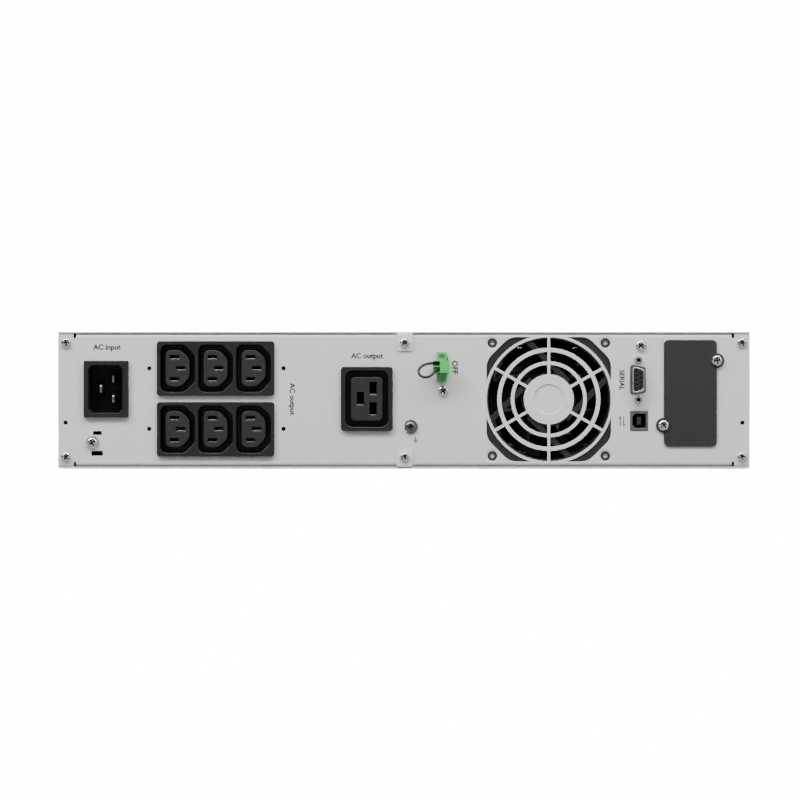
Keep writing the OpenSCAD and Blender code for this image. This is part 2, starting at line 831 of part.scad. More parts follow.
// Four screws that hold the fan
module fan_screws() {
    for (sx = [-1, 1], sz = [-1, 1]) {
        x = fan_x + sx * fan_pitch / 2;
        z = fan_z + sz * fan_pitch / 2;
        color("#1d1d1f") union() {
            cone_y(x, z, fan_seat_r - 0.1, 2.1, panel_y + dish_depth, panel_in);
            bar_y(x, z, 2, panel_in, panel_y + 12);
        }
    }
}

// Six countersunk screws that hold the lid
module cover_screws() {
    for (s = [-1, 1], y = lid_screw_y) {
        color("#c9c9c6") union() {
            translate([s * half_w, y, lid_screw_z])
                rotate([0, -s * 90, 0]) cylinder(r1 = csk_r - 0.05, r2 = 1.45, h = sheet_t);
            translate([s * half_w, y, lid_screw_z]) rotate([0, -s * 90, 0]) cylinder(r = 1.45, h = 6);
        }
    }
}

// Press nuts behind the screws of the rear panel
module press_nuts() {
    back = panel_in + 0.1 + sheet_t;
    for (p = case_screw_spots) nut(p, back, 1.55);
    for (p = concat(tab_screw_spots, screw_spots, cover_ears)) nut(p, panel_in, 1.55);
    nut(retainer_at, panel_in, 2.05);
    nut(ground_at, panel_in, 2.05);
}

module nut(place, y, r) {
    color("#c4c4c0") difference() {
        bar_y(place[0], mid_z + place[1], nut_r, y, y + nut_h);
        bar_y(place[0], mid_z + place[1], r, y - 1, y + nut_h + 1);
    }
}

// ---------------------------------------------------------------- fan

// Square frame with the motor's base behind the grille, on four struts that start beside it
module fan_frame() {
    y0 = panel_in;
    y1 = panel_in + fan_depth;
    difference() {
        color("#1b1b1d") union() {
            along_y(y0, y1) translate([fan_x, fan_z]) difference() {
                round_rect([fan_size, fan_size], 3);
                circle(r = fan_bore_r, $fn = round_fn);
            }
            bar_y(fan_x, fan_z, motor_base_r, y0, y0 + motor_base_t);
            bar_y(fan_x, fan_z, 4, y0, y0 + 16);
            for (a = [45:90:315]) {
                translate([fan_x, y0 + 0.4, fan_z]) rotate([0, a, 0])
                    translate([motor_base_r - 1, 0, -1]) cube([strut_w, motor_base_t - 0.8, strut_l]);
            }
        }
        bar_y(fan_x, fan_z, shaft_r + running, y0 + 1, y1);
        for (sx = [-1, 1], sz = [-1, 1]) {
            bar_y(fan_x + sx * fan_pitch / 2, fan_z + sz * fan_pitch / 2, 2.05, y0 - 1, y1 + 1);
        }
    }
}

// Wound stator of the motor
module fan_stator() {
    y0 = panel_in + motor_base_t;
    color("#8a4f2a") difference() {
        bar_y(fan_x, fan_z, 13, y0, y0 + 12);
        bar_y(fan_x, fan_z, 4, y0 - 1, y0 + 13);
    }
}

// Rotor: a cup that is open towards the motor's base, its shaft and the blades
module fan_rotor() {
    y0 = panel_in + motor_base_t + 0.6;
    y1 = panel_in + fan_depth - 2;
    cup_t = 2;
    color("#232325") union() {
        difference() {
            bar_y(fan_x, fan_z, hub_r, y0, y1);
            bar_y(fan_x, fan_z, hub_r - cup_t, y0 - 1, y1 - cup_t);
        }
        bar_y(fan_x, fan_z, shaft_r, panel_in + 2, y1 - 1);
        intersection() {
            for (i = [0:blade_count - 1]) {
                translate([fan_x, (y0 + y1) / 2, fan_z]) rotate([0, i * 360 / blade_count, 0])
                    translate([hub_r - 1, 0, 0]) rotate([blade_tilt, 0, 0])
                        translate([0, -14, -blade_t / 2]) cube([blade_tip_r, 28, blade_t]);
            }
            difference() {
                bar_y(fan_x, fan_z, blade_tip_r, y0, y1);
                bar_y(fan_x, fan_z, hub_r - 0.5, y0 - 1, y1 + 1);
            }
        }
    }
}

// ---------------------------------------------------------------- battery drawer

// Moulded front of the drawer: louvres, a grip to pull on and two screw wells
module battery_fascia() {
    x0 = -half_w;
    x1 = split_x - gap;
    t = moulding_t;
    grip_z = mid_z;
    color("#26272a") difference() {
        union() {
            difference() {
                block([x0, cover_back, cover_z0], [x1, cover_face, cover_z1]);
                block([x0 + t, cover_back - 1, cover_z0 + t], [x1 - t, cover_face - t, cover_z1 - t]);
            }
            block([grip_x - grip_size[0] / 2 - t, cover_face - grip_deep - t, grip_z - grip_size[1] / 2 - t],
                  [grip_x + grip_size[0] / 2 + t, cover_face, grip_z + grip_size[1] / 2 + t]);
            for (x = screw_x) bar_y(x, mid_z, 6.3, cover_back, cover_face);
            for (x = [tray_x0 + 30, tray_x1 - 30], z = [20, 66]) {
                bar_y(x, z, 4, tray_y1, cover_face);
            }
        }
        block([grip_x - grip_size[0] / 2, cover_face - grip_deep, grip_z - grip_size[1] / 2],
              [grip_x + grip_size[0] / 2, cover_face + 1, grip_z + grip_size[1] / 2]);
        for (x = screw_x) {
            bar_y(x, mid_z, 2.2, cover_back - 1, cover_face);
            bar_y(x, mid_z, 5, cover_face - 8, cover_face + 1);
        }
        for (side = [-1, 1], i = [-3:3]) {
            cx = side < 0 ? -155 : 48;
            translate([cx, cover_face - t / 2, mid_z + i * 2 * louvre_h])
                cube([84, t + 2, louvre_h], center = true);
        }
    }
}

// Two captive thumb screws of the drawer
module drawer_screws() {
    for (x = screw_x) {
        color("#b9b9b6") union() {
            bar_y(x, mid_z, 4.4, cover_face - 7.7, front_y - 0.2);
            bar_y(x, mid_z, 1.9, chassis_front - 6, cover_face - 7.7);
        }
    }
}

// Open steel tray
module battery_tray() {
    color("#9da0a2") union() {
        block([tray_x0, tray_y0, tray_z], [tray_x1, tray_y1, tray_z + tray_t]);
        for (x = [tray_x0, tray_x1 - tray_t]) {
            block([x, tray_y0, tray_z], [x + tray_t, tray_y1, tray_z + 42]);
        }
        block([tray_x0, tray_y0, tray_z], [tray_x1, tray_y0 + tray_t, tray_z + 62]);
        block([tray_x0, tray_y1 - tray_t, tray_z], [tray_x1, tray_y1, tray_z + 70]);
    }
}

// Middle of battery block number i across and j along
function block_at(i, j) =
    [tray_x0 + tray_t + 0.2 + block_l * (i + 0.5),
     tray_y0 + tray_t + 1 + block_step * j + block_w / 2];

// Six sealed lead-acid blocks
module battery_blocks() {
    rib = 1;
    for (i = [0:1], j = [0:2]) {
        c = block_at(i, j);
        z0 = tray_z + tray_t;
        color("#3c4043") union() {
            block([c[0] - block_l / 2 + 0.05, c[1] - block_w / 2, z0],
                  [c[0] + block_l / 2 - 0.05, c[1] + block_w / 2, z0 + block_h]);
            block([c[0] - block_l / 2 + 6, c[1] + block_w / 2, z0 + 6],
                  [c[0] + block_l / 2 - 6, c[1] + block_w / 2 + rib, z0 + block_h - 6]);
        }
    }
}

// Two flat terminals on each block
module battery_terminals() {
    for (i = [0:1], j = [0:2], s = [-1, 1]) {
        c = block_at(i, j);
        color(s > 0 ? "#b03030" : "#303030")
            translate([c[0] + s * 62, c[1] + block_w / 2 + 3, tray_z + tray_t + 54])
                cube([6.3, 4, 0.8], center = true);
    }
}

// Blind-mating power connector on the back of the drawer
module battery_plug() {
    color("#2f5fa8") block([-72, tray_y0 - 7.6, 24], [-40, tray_y0, 46]);
}

// Fixed half of the battery connector, in the wall behind the bay
module battery_socket() {
    color("#444444") block([-76, tray_y0 - 26, 22], [-36, tray_y0 - 7.9, 48]);
}

// ---------------------------------------------------------------- front controls

// Moulded front of the display side
module display_bezel() {
    x0 = split_x;
    t = moulding_t;
    difference() {
        color("#1e1f21") union() {
            difference() {
                block([x0, chassis_front, cover_z0], [half_w, cover_face, cover_z1]);
                block([x0 + t, chassis_front - 1, cover_z0 + t], [half_w - t, cover_face - t, cover_z1 - t]);
            }
            for (x = [x0 + 6, half_w - 6], z = [8, body_h - 8]) {
                bar_y(x, z, 3.2, chassis_front, cover_face - 1);
            }
        }
        along_y(cover_face - t - 1, cover_face + 1)
            translate([panel_mid, window_z]) round_rect(window_size, 2);
        for (i = [0:3]) bar_y(button_x(i), button_z, button_d / 2 + gap, cover_face - t - 1, cover_face + 1);
    }
}

function button_x(i) = panel_mid + (i - 1.5) * button_pitch;

// Clear window over the display
module display_window() {
    color([0.75, 0.8, 0.82, 0.4]) along_y(cover_face - 1.6, cover_face - 0.2)
        translate([panel_mid, window_z]) round_rect(window_size - [0.2, 0.2], 1.9);
}

// Display glass in its frame
module lcd_module() {
    half = window_size / 2 + [2, 2];
    color("#39424a") block([panel_mid - half[0], board_y, window_z - half[1]],
                           [panel_mid + half[0], cover_face - moulding_t - 0.2, window_z + half[1]]);
}

// Board that carries the display and the four key switches
module display_board() {
    color("#1f6b45") union() {
        block([panel_mid - 44, board_y - board_t, 9], [panel_mid + 44, board_y, 78]);
        for (i = [0:3]) {
            block([button_x(i) - 3, board_y, button_z - 3],
                  [button_x(i) + 3, board_y + switch_h, button_z + 3]);
        }
    }
}

// One push button with its stem
module button(i) {
    color("#8d9094") union() {
        bar_y(button_x(i), button_z, button_d / 2, cover_face - 4, front_y);
        bar_y(button_x(i), button_z, 2, board_y + switch_h + button_travel + gap, cover_face - 4);
    }
}

// ---------------------------------------------------------------- electronics

board_z = 9;
board_y0 = -258;
board_y1 = tray_y0 - 34;
main_x = [-152, 126];

// Power board at the back of the case
module main_board() {
    color("#1f6b45") block([main_x[0], board_y0, board_z], [main_x[1], board_y1, board_z + board_t]);
}

// Pillars under the power board
module board_standoffs() {
    for (x = [main_x[0] + 8, (main_x[0] + main_x[1]) / 2, main_x[1] - 8], y = [board_y0 + 8, board_y1 - 8]) {
        color("#c9b469") translate([x, y, sheet_t]) cylinder(r = 3, h = board_z - sheet_t);
    }
}

// Two finned heatsinks in the air stream of the fan
module heatsinks() {
    z0 = board_z + board_t;
    for (x = [58, 96]) {
        color("#8c8f93") union() {
            block([x, board_y0 + 6, z0], [x + 4, board_y1 - 6, z0 + 58]);
            for (i = [0:7]) {
                block([x + 4, board_y0 + 6, z0 + 3 + i * 7.4], [x + 26, board_y1 - 6, z0 + 4.8 + i * 7.4]);
            }
        }
    }
}

// Six large storage capacitors
module capacitors() {
    for (i = [0:2], j = [0:1]) {
        color("#23262b") translate([-16 + j * 40, board_y0 + 28 + i * 42, board_z + board_t])
            cylinder(r = 17.5, h = 50);
    }
}

// Transformer: a core round a winding
module transformer() {
    z0 = board_z + board_t;
    color("#6d5f48") union() {
        block([-118, board_y0 + 20, z0], [-58, board_y0 + 34, z0 + 50]);
        block([-118, board_y0 + 66, z0], [-58, board_y0 + 80, z0 + 50]);
        block([-118, board_y0 + 34, z0], [-108, board_y0 + 66, z0 + 50]);
        block([-68, board_y0 + 34, z0], [-58, board_y0 + 66, z0 + 50]);
        translate([-88, board_y0 + 50, z0]) cylinder(r = 15, h = 50);
    }
}

// Mains filter board with its choke
module filter_board() {
    color("#2b7d52") block([-212, board_y0, board_z], [-160, board_y1, board_z + board_t]);
    for (x = [-208, -164], y = [board_y0 + 4, board_y1 - 4]) {
        color("#c9b469") translate([x, y, sheet_t]) cylinder(r = 2.5, h = board_z - sheet_t);
    }
    color("#44403a") translate([-186, board_y0 + 60, board_z + board_t]) cylinder(r = 18, h = 24);
}

// Control and charger card on the display side
module control_card() {
    x0 = divider_x + 8;
    color("#1f6b45") block([x0, tray_y0 + 20, board_z], [half_w - 10, chassis_front - 20, board_z + board_t]);
    for (x = [x0 + 6, half_w - 16], y = [tray_y0 + 30, chassis_front - 30]) {
        color("#c9b469") translate([x, y, sheet_t]) cylinder(r = 2.5, h = board_z - sheet_t);
    }
    color("#2b2d30") block([x0 + 20, tray_y0 + 60, board_z + board_t],
                           [x0 + 62, tray_y0 + 120, board_z + 32]);
}

// Three insulated leads from the inlet down to the filter board
module power_leads() {
    lead_r = 1.9;
    y0 = panel_y + inlet_deep + inlet_floor + 8;
    colours = ["#7b4a2b", "#3b5fa0", "#6f9a3c"];
    for (i = [0:2]) {
        x = inlet_at[0] + blade_places[i][0];
        z = mid_z + inlet_at[1] + blade_places[i][1];
        bend_y = y0 + 26 - i * 6;
        color(colours[i]) union() {
            bar_y(x, z, lead_r, y0, bend_y);
            translate([x, bend_y, board_z + board_t]) cylinder(r = lead_r, h = z - board_z - board_t);
            translate([x, bend_y, z]) sphere(r = lead_r);
        }
    }
}

// ---------------------------------------------------------------- drawing

chassis_base();
top_cover();
rear_panel();
bay_side_wall();
bay_rear_wall();
drawer_runners();
display_bezel();
slot_cover();
card_guides();
inlet_housing();
inlet_pins();
outlet_bank_upper();
outlet_bank_lower();
outlet_inserts();
outlet_contacts();
large_outlet_housing();
large_outlet_insert();
remote_header();
remote_plug();
jumper_wire();
serial_shell();
serial_insert();
jack_screws();
usb_shell();
usb_tongue();
comm_board();
case_screws();
panel_screws();
retainer_screw();
ground_screw();
ground_washer();
fan_screws();
cover_screws();
press_nuts();
fan_frame();
fan_stator();
fan_rotor();
battery_fascia();
battery_tray();
battery_blocks();
battery_terminals();
battery_plug();
battery_socket();
drawer_screws();
display_window();
lcd_module();
display_board();
button(0);  // button_back
button(1);  // button_down
button(2);  // button_up
button(3);  // button_enter
main_board();
board_standoffs();
heatsinks();
capacitors();
transformer();
filter_board();
control_card();
power_leads();
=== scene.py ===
"""Looks of a rackmount power supply, two rack units high, built around its CAD frame.

X runs across the back to the right, Y from the back to the front, Z up, in metres.
Sizes in the tables are millimetres: x, and height over the middle of the rear panel.
"""

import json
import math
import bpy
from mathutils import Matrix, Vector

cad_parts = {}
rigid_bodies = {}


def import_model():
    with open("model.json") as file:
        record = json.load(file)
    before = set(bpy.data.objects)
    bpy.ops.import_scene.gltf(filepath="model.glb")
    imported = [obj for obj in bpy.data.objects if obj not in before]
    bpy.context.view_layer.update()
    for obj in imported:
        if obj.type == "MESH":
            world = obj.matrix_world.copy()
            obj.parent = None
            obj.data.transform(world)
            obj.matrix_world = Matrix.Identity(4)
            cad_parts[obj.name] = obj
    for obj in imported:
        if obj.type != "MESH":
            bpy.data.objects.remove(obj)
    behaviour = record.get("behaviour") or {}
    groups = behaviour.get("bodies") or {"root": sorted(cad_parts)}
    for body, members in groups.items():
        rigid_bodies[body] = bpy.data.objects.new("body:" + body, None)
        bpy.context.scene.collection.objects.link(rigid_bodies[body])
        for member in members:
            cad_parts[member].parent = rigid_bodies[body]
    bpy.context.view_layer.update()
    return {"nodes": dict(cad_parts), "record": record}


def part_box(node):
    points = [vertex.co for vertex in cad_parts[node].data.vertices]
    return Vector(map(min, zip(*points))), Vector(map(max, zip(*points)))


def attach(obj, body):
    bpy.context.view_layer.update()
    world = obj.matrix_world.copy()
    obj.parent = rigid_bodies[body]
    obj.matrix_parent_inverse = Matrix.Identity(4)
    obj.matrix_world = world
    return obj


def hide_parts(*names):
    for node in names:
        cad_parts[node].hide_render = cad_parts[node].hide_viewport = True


bl_info = {
    "name": "Rackmount power supply",
    "version": (1, 0, 0),
    "blender": (4, 5, 0),
    "location": "3D View > Sidebar > Rack UPS",
    "description": "Builds the rack case, its sockets, fan, ports, battery drawer and front",
    "category": "Object",
}

import bmesh
import bpy
from bpy.props import FloatProperty, FloatVectorProperty, IntProperty, PointerProperty
from bpy.types import Operator, Panel, PropertyGroup
from mathutils import Matrix, Vector

for old in list(bpy.data.objects):
    bpy.data.objects.remove(old)
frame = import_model()

MM = 0.001
NODES = frame["nodes"]
PANEL_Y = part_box("rear_panel")[0].y
MIDDLE_Z = (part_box("top_cover")[1].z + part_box("chassis_base")[0].z) / 2
FACE_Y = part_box("display_bezel")[1].y
SHEET = (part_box("bay_side_wall")[0].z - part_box("chassis_base")[0].z) / MM
TAB_OUT = (PANEL_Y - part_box("chassis_base")[0].y) / MM

# Short wire of the remote-off plug: x, distance out of the panel, height over the middle
JUMPER_ROUTE = [
    (22.6, 8.0, 22.9), (21.0, 8.0, 22.95), (18.8, 8.1, 23.1), (16.2, 8.6, 23.0),
    (13.7, 9.4, 22.5), (11.5, 10.4, 21.4), (9.9, 11.5, 19.9), (9.2, 12.5, 18.1),
    (9.6, 13.3, 16.2), (11.1, 13.8, 14.9), (13.3, 14.0, 14.3), (15.5, 13.8, 14.6),
    (17.3, 13.3, 15.7), (18.7, 12.5, 17.0), (19.9, 11.6, 18.2), (21.0, 10.7, 18.9),
    (21.8, 10.0, 19.25), (22.6, 9.6, 19.4)]

# Screw heads on the back: x, height, distance of the seat out of the panel, turn of the cross
CASE_SCREWS = [
    (-213.8, 36.1, 0, 8), (213.8, 36.1, 0, 30), (-213.8, -36.1, 0, 52), (213.8, -36.1, 0, 20),
    (0.5, 36.1, TAB_OUT, 44), (0.5, -36.1, TAB_OUT, 40)]
PANEL_SCREWS = [
    (24.9, 5.7, 0, 35), (150.0, 34.3, 0, 50), (197.9, 25.0, 1.5, 15), (164.2, -16.0, 1.5, 38)]
RETAINER_SCREW = (-197.2, -27.0, 0.8, 25)
EARTH_SCREW = (4.2, -16.9, 1.0, 12)
FAN_SCREWS = [(91.7 + sx * 35.75, 0.4 + sz * 35.75) for sx in (-1, 1) for sz in (-1, 1)]

# Serial port: its middle, the distance between its jack screws and the radius of their bore
SERIAL_CENTRE = (148.1, 12.6)
JACK_PITCH = 25.0
JACK_BORE = 1.23

# Mains inlet: length of a blade's tapered tip, and its width at the end as a part
BLADE_TIP, TIP_WIDTH = 3.5, 0.55

# Small holes of the rear panel, how near an edge is to be theirs, and how far its
# folded edges reach from the middle
SMALL_HOLES = [
    (-161.2, 20.0), (-76.2, 20.0), (-161.2, -18.3), (-76.2, -18.3), (-214.2, -14.4),
    (214.2, -14.4)]
HOLE_NEAR = 1.9
FOLD_REACH = 207.6
# Pressed dish in the grille's hub: radius of its foot, which moves out by the factor and
# deeper by the distance
DISH_FOOT = 8.5
DISH_WALL = 1.04
DISH_DEEPER = 0.35

# Fan screw, turned from (radius, height): black ring and stem, and a bright nickel middle that is
# a painted highlight in the recess
FAN_SCREW_RING = [
    (0, 0), (2.0, 0), (3.05, 0.7), (2.95, 0.78), (1.75, 0.62), (1.6, 0.3), (0, 0.25)]
FAN_SCREW_STEM = [(0, 0.1), (1.95, 0.1), (1.95, -10), (0, -10.8)]
FAN_SCREW_HIGHLIGHT = [
    (0, 0.22), (1.6, 0.22), (1.55, 0.55), (1.2, 0.66), (0.5, 0.62), (0.32, 0.3), (0, 0.3)]
RETAINER_FLANGE = [(0, 0), (4.2, 0), (4.2, 0.55), (3.9, 0.8), (0, 0.8)]
EARTH_WASHER = [(2.1, 0), (4.3, 0), (4.3, 0.6), (2.1, 0.6), (2.1, 0)]
WASHER_TEETH = 16

# Fan rotor: the cup's radii and wall, the shaft's radius and how far it stands out of the
# cup, and the turn of the blades at rest in degrees
CUP_OUTSIDE, CUP_INSIDE, CUP_WALL = 17.2, 15.2, 2
SHAFT, SHAFT_OUT = 1.5, 1.4
ROTOR_TURN = 11
# Fan blade: radius of its root, length, camber and thickness, and its sweep in degrees
BLADE_ROOT, BLADE_LENGTH, BLADE_CAMBER, BLADE_THICK = 16.9, 19.7, 1.2, 1.4
BLADE_SWEEP = 22

# Thumb screw: length of its knob, how far its axis is from the box's end, steps of its
# knurling, and the knob's (radius, height) points from the slot to the seat
KNOB_LENGTH, KNOB_INSET, KNURLS = 8.5, 4.4, 60
KNOB_PROFILE = [
    (0, 7.6), (1.0, 7.6), (1.0, 8.5), (3.9, 8.5), (4.3, 8.1), (4.3, 0.4), (3.9, 0), (1.9, 0)]

# Half the width of a centre tab
TAB_HALF = 5.05

# Signs made of bars: middle x, middle y, width, height, turn in degrees
EARTH_SIGN = [(0, 1.05, 0.5, 2.1, 0), (0, 0, 3.0, 0.5, 0), (0, -0.85, 1.9, 0.5, 0),
              (0, -1.7, 0.8, 0.5, 0)]
DATA_SIGN = [(0, 1.0, 6.0, 0.5, 0), (2.3, 1.5, 1.9, 0.5, -38), (-2.3, -1.5, 1.9, 0.5, -38),
             (0, -1.0, 6.0, 0.5, 0)]
KEY_SIGNS = {
    "back": [(-0.5, 0.75, 2.2, 0.5, 45), (-0.5, -0.75, 2.2, 0.5, -45)],
    "down": [(-0.75, 0, 2.2, 0.5, -45), (0.75, 0, 2.2, 0.5, 45)],
    "up": [(-0.75, 0, 2.2, 0.5, 45), (0.75, 0, 2.2, 0.5, -45)],
    "enter": [(-1.1, -0.4, 1.5, 0.5, -45), (0.55, 0.15, 2.8, 0.5, 45)]}
LEVEL_BARS = [(8 + 3.4 * i, -10, 2.4, 3 + 1.3 * i, 0) for i in range(5)]
CELL_OUTLINE = [
    (-15, -11.6, 18, 0.5, 0), (-15, -5.4, 18, 0.5, 0), (-24, -8.5, 0.5, 6.6, 0),
    (-6, -8.5, 0.5, 6.6, 0), (-5.2, -8.5, 1.1, 2.6, 0)]
CELL_FILL = [(-21.4 + 4.2 * i, -8.5, 3.4, 4.6, 0) for i in range(4)]
DISPLAY_RULE = [(0, -2.2, 54, 0.3, 0)]

# Camera: lens, place across, and distance from the panel in metres
LENS, CAMERA_X, CAMERA_BACK = 142.2, -0.0025, 2.0
# Lamps: name, place, what they point at, size, all in metres, and watts
AT_BACK, AT_FRONT = (0, -0.29, 0.04), (0, 0.3, 0.04)
LAMPS = [
    ("overhead", (-0.1, -1.25, 1.35), AT_BACK, (2.4, 0.5), 54),
    ("back_left", (-1.7, -1.7, 1.5), AT_BACK, (0.9, 0.9), 34),
    ("back_right", (1.8, -1.7, 0.9), AT_BACK, (0.8, 0.8), 14),
    ("front_left", (1.5, 2.0, 1.5), AT_FRONT, (1.0, 1.0), 62),
    ("front_right", (-1.7, 1.7, 0.9), AT_FRONT, (0.9, 0.9), 30)]
# Strength of the white that the camera sees round the object
SEEN_WHITE = 16.0

# How much the letters of the printed words are thickened, as a part of their size
LETTER_WEIGHT = 0.036

# Printed words: text, x, height, length along the text, turn in degrees
WORDS = [
    ("AC input", -188.0, 33.0, 17.5, 0),
    ("AC output", -71.0, 0.6, 20.5, -90),
    ("AC output", -23.4, 27.5, 20.5, 0),
    ("OFF", 32.3, 20.6, 8.6, -90),
    ("SERIAL", 138.0, 12.6, 12.7, -90)]


def place(x, out, height):
    """Point at x, at a distance out of the panel, at a height over its middle; all in mm."""
    return Vector((x * MM, PANEL_Y - out * MM, MIDDLE_Z + height * MM))


def middle_of(node):
    """Middle of a CAD node's box."""
    low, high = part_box(node)
    return (low + high) / 2


# -------- settings


class RackFinish(PropertyGroup):
    """Colours of the case, the sockets and the front."""

    panel: FloatVectorProperty(
        name="Rear panel", description="Powder coat of the rear panel",
        default=(0.60, 0.595, 0.60), subtype="COLOR", min=0, max=1)
    case: FloatVectorProperty(
        name="Case", description="Powder coat of the base and the lid",
        default=(0.66, 0.655, 0.645), subtype="COLOR", min=0, max=1)
    socket: FloatVectorProperty(
        name="Socket frames", description="Moulded plastic of the socket frames",
        default=(0.0085, 0.0085, 0.009), subtype="COLOR", min=0, max=1)
    core: FloatVectorProperty(
        name="Socket middles", description="Moulded plastic of the raised socket middles",
        default=(0.0115, 0.0113, 0.0113), subtype="COLOR", min=0, max=1)
    plug: FloatVectorProperty(
        name="Remote-off plug", description="Green plastic of the remote-off connector",
        default=(0.026, 0.47, 0.082), subtype="COLOR", min=0, max=1)
    fan: FloatVectorProperty(
        name="Fan", description="Glossy plastic of the fan",
        default=(0.004, 0.004, 0.0045), subtype="COLOR", min=0, max=1)
    front: FloatVectorProperty(
        name="Front", description="Moulded plastic of the front covers",
        default=(0.020, 0.021, 0.023), subtype="COLOR", min=0, max=1)
    ink: FloatVectorProperty(
        name="Printing", description="Ink of the words on the rear panel",
        default=(0.008, 0.008, 0.009), subtype="COLOR", min=0, max=1)


class RackDetail(PropertyGroup):
    """Small sizes that the CAD frame leaves sharp or plain."""

    fold: FloatProperty(
        name="Fold radius", description="Radius of the folded upper and lower panel edges",
        default=0.0017, min=0.0004, max=0.002, unit="LENGTH")
    tab_fold: FloatProperty(
        name="Tab radius", description="Radius where the centre tabs fold over the panel",
        default=0.0022, min=0.0004, max=0.0025, unit="LENGTH")
    sheet_edge: FloatProperty(
        name="Sheet edges", description="Rounding of punched sheet metal edges",
        default=0.00018, min=0.00005, max=0.0004, unit="LENGTH")
    hole_edge: FloatProperty(
        name="Hole edges", description="Rounding of the small round holes of the panel",
        default=0.00032, min=0.0001, max=0.0004, unit="LENGTH")
    moulded_edge: FloatProperty(
        name="Moulded edges", description="Rounding of the moulded socket edges",
        default=0.00045, min=0.0001, max=0.001, unit="LENGTH")
    letter: FloatProperty(
        name="Ink thickness", description="How far the printed words stand out of the panel",
        default=0.00004, min=0.00001, max=0.0002, unit="LENGTH")
    blades: IntProperty(
        name="Fan blades", description="Number of blades on the fan's rotor",
        default=7, min=5, max=9)


# -------- materials


def new_material(name):
    """Empty node material; returns it with its shader and a function that adds nodes."""
    made = bpy.data.materials.new(name)
    made.use_nodes = True
    tree = made.node_tree

    def add(kind, **values):
        node = tree.nodes.new(kind)
        for key, value in values.items():
            if hasattr(node, key):
                setattr(node, key, value)
            else:
                set_inputs(node, **{key: value})
        return node

    return made, tree.nodes["Principled BSDF"], add, tree.links.new


def set_inputs(node, **values):
    """Sets sockets by name, an underscore standing for each space."""
    for key, value in values.items():
        node.inputs[key.replace("_", " ")].default_value = value


def finish(name, colour, roughness, metallic=0, mottle=0.05, cloud=14, grain=1200,
           relief=10, scuff=0.06, coat=0.0, stretch=(1, 1, 1), speck=0.0):
    """Surface with cloudy colour, uneven gloss and a fine grain; relief in micrometres."""
    made, shader, add, link = new_material(name)
    set_inputs(shader, Metallic=metallic, Coat_Weight=coat, Coat_Roughness=0.08)
    where = add("ShaderNodeTexCoord")
    lay = add("ShaderNodeMapping", Scale=stretch)
    link(where.outputs["Object"], lay.inputs["Vector"])

    clouds = add("ShaderNodeTexNoise", Scale=cloud, Detail=5.0, Roughness=0.6)
    link(lay.outputs["Vector"], clouds.inputs["Vector"])
    ramp = add("ShaderNodeValToRGB")
    low, high = ramp.color_ramp.elements
    low.position, high.position = 0.3, 0.7
    low.color = [c * (1 - mottle) for c in colour] + [1]
    high.color = [min(1.0, c * (1 + mottle)) for c in colour] + [1]
    link(clouds.outputs["Fac"], ramp.inputs["Fac"])
    tint = ramp.outputs["Color"]
    fine = add("ShaderNodeTexNoise", Scale=grain, Detail=3.0, Roughness=0.55)
    link(lay.outputs["Vector"], fine.inputs["Vector"])
    if speck:
        dots = add("ShaderNodeMapRange", From_Min=0.62, From_Max=0.72, To_Max=speck)
        link(fine.outputs["Fac"], dots.inputs["Value"])
        mix = add("ShaderNodeMix", data_type="RGBA", blend_type="MULTIPLY")
        link(dots.outputs["Result"], mix.inputs["Factor"])
        link(tint, mix.inputs[6])
        mix.inputs[7].default_value = (0.4, 0.4, 0.42, 1)
        tint = mix.outputs[2]
    link(tint, shader.inputs["Base Color"])

    wear = add("ShaderNodeTexNoise", Scale=cloud * 9, Detail=6.0, Roughness=0.7)
    link(lay.outputs["Vector"], wear.inputs["Vector"])
    gloss = add(
        "ShaderNodeMapRange", From_Min=0.3, From_Max=0.7, To_Min=max(0.02, roughness - scuff),
        To_Max=min(1.0, roughness + scuff))
    link(wear.outputs["Fac"], gloss.inputs["Value"])
    link(gloss.outputs["Result"], shader.inputs["Roughness"])

    bump = add("ShaderNodeBump", Strength=0.5, Distance=relief * 1e-6)
    link(fine.outputs["Fac"], bump.inputs["Height"])
    link(bump.outputs["Normal"], shader.inputs["Normal"])
    return made


def galvanised(name, colour):
    """Zinc-coated steel with large crystals in slightly different greys."""
    made, shader, add, link = new_material(name)
    shader.inputs["Metallic"].default_value = 0.9
    where = add("ShaderNodeTexCoord")
    flakes = add("ShaderNodeTexVoronoi", Scale=260.0, Randomness=1.0)
    link(where.outputs["Object"], flakes.inputs["Vector"])
    ramp = add("ShaderNodeValToRGB")
    ramp.color_ramp.elements[0].color = [c * 0.8 for c in colour] + [1]
    ramp.color_ramp.elements[1].color = [min(1, c * 1.15) for c in colour] + [1]
    link(flakes.outputs["Color"], ramp.inputs["Fac"])
    link(ramp.outputs["Color"], shader.inputs["Base Color"])
    gloss = add("ShaderNodeMapRange", To_Min=0.32, To_Max=0.55)
    link(flakes.outputs["Color"], gloss.inputs["Value"])
    link(gloss.outputs["Result"], shader.inputs["Roughness"])
    return made


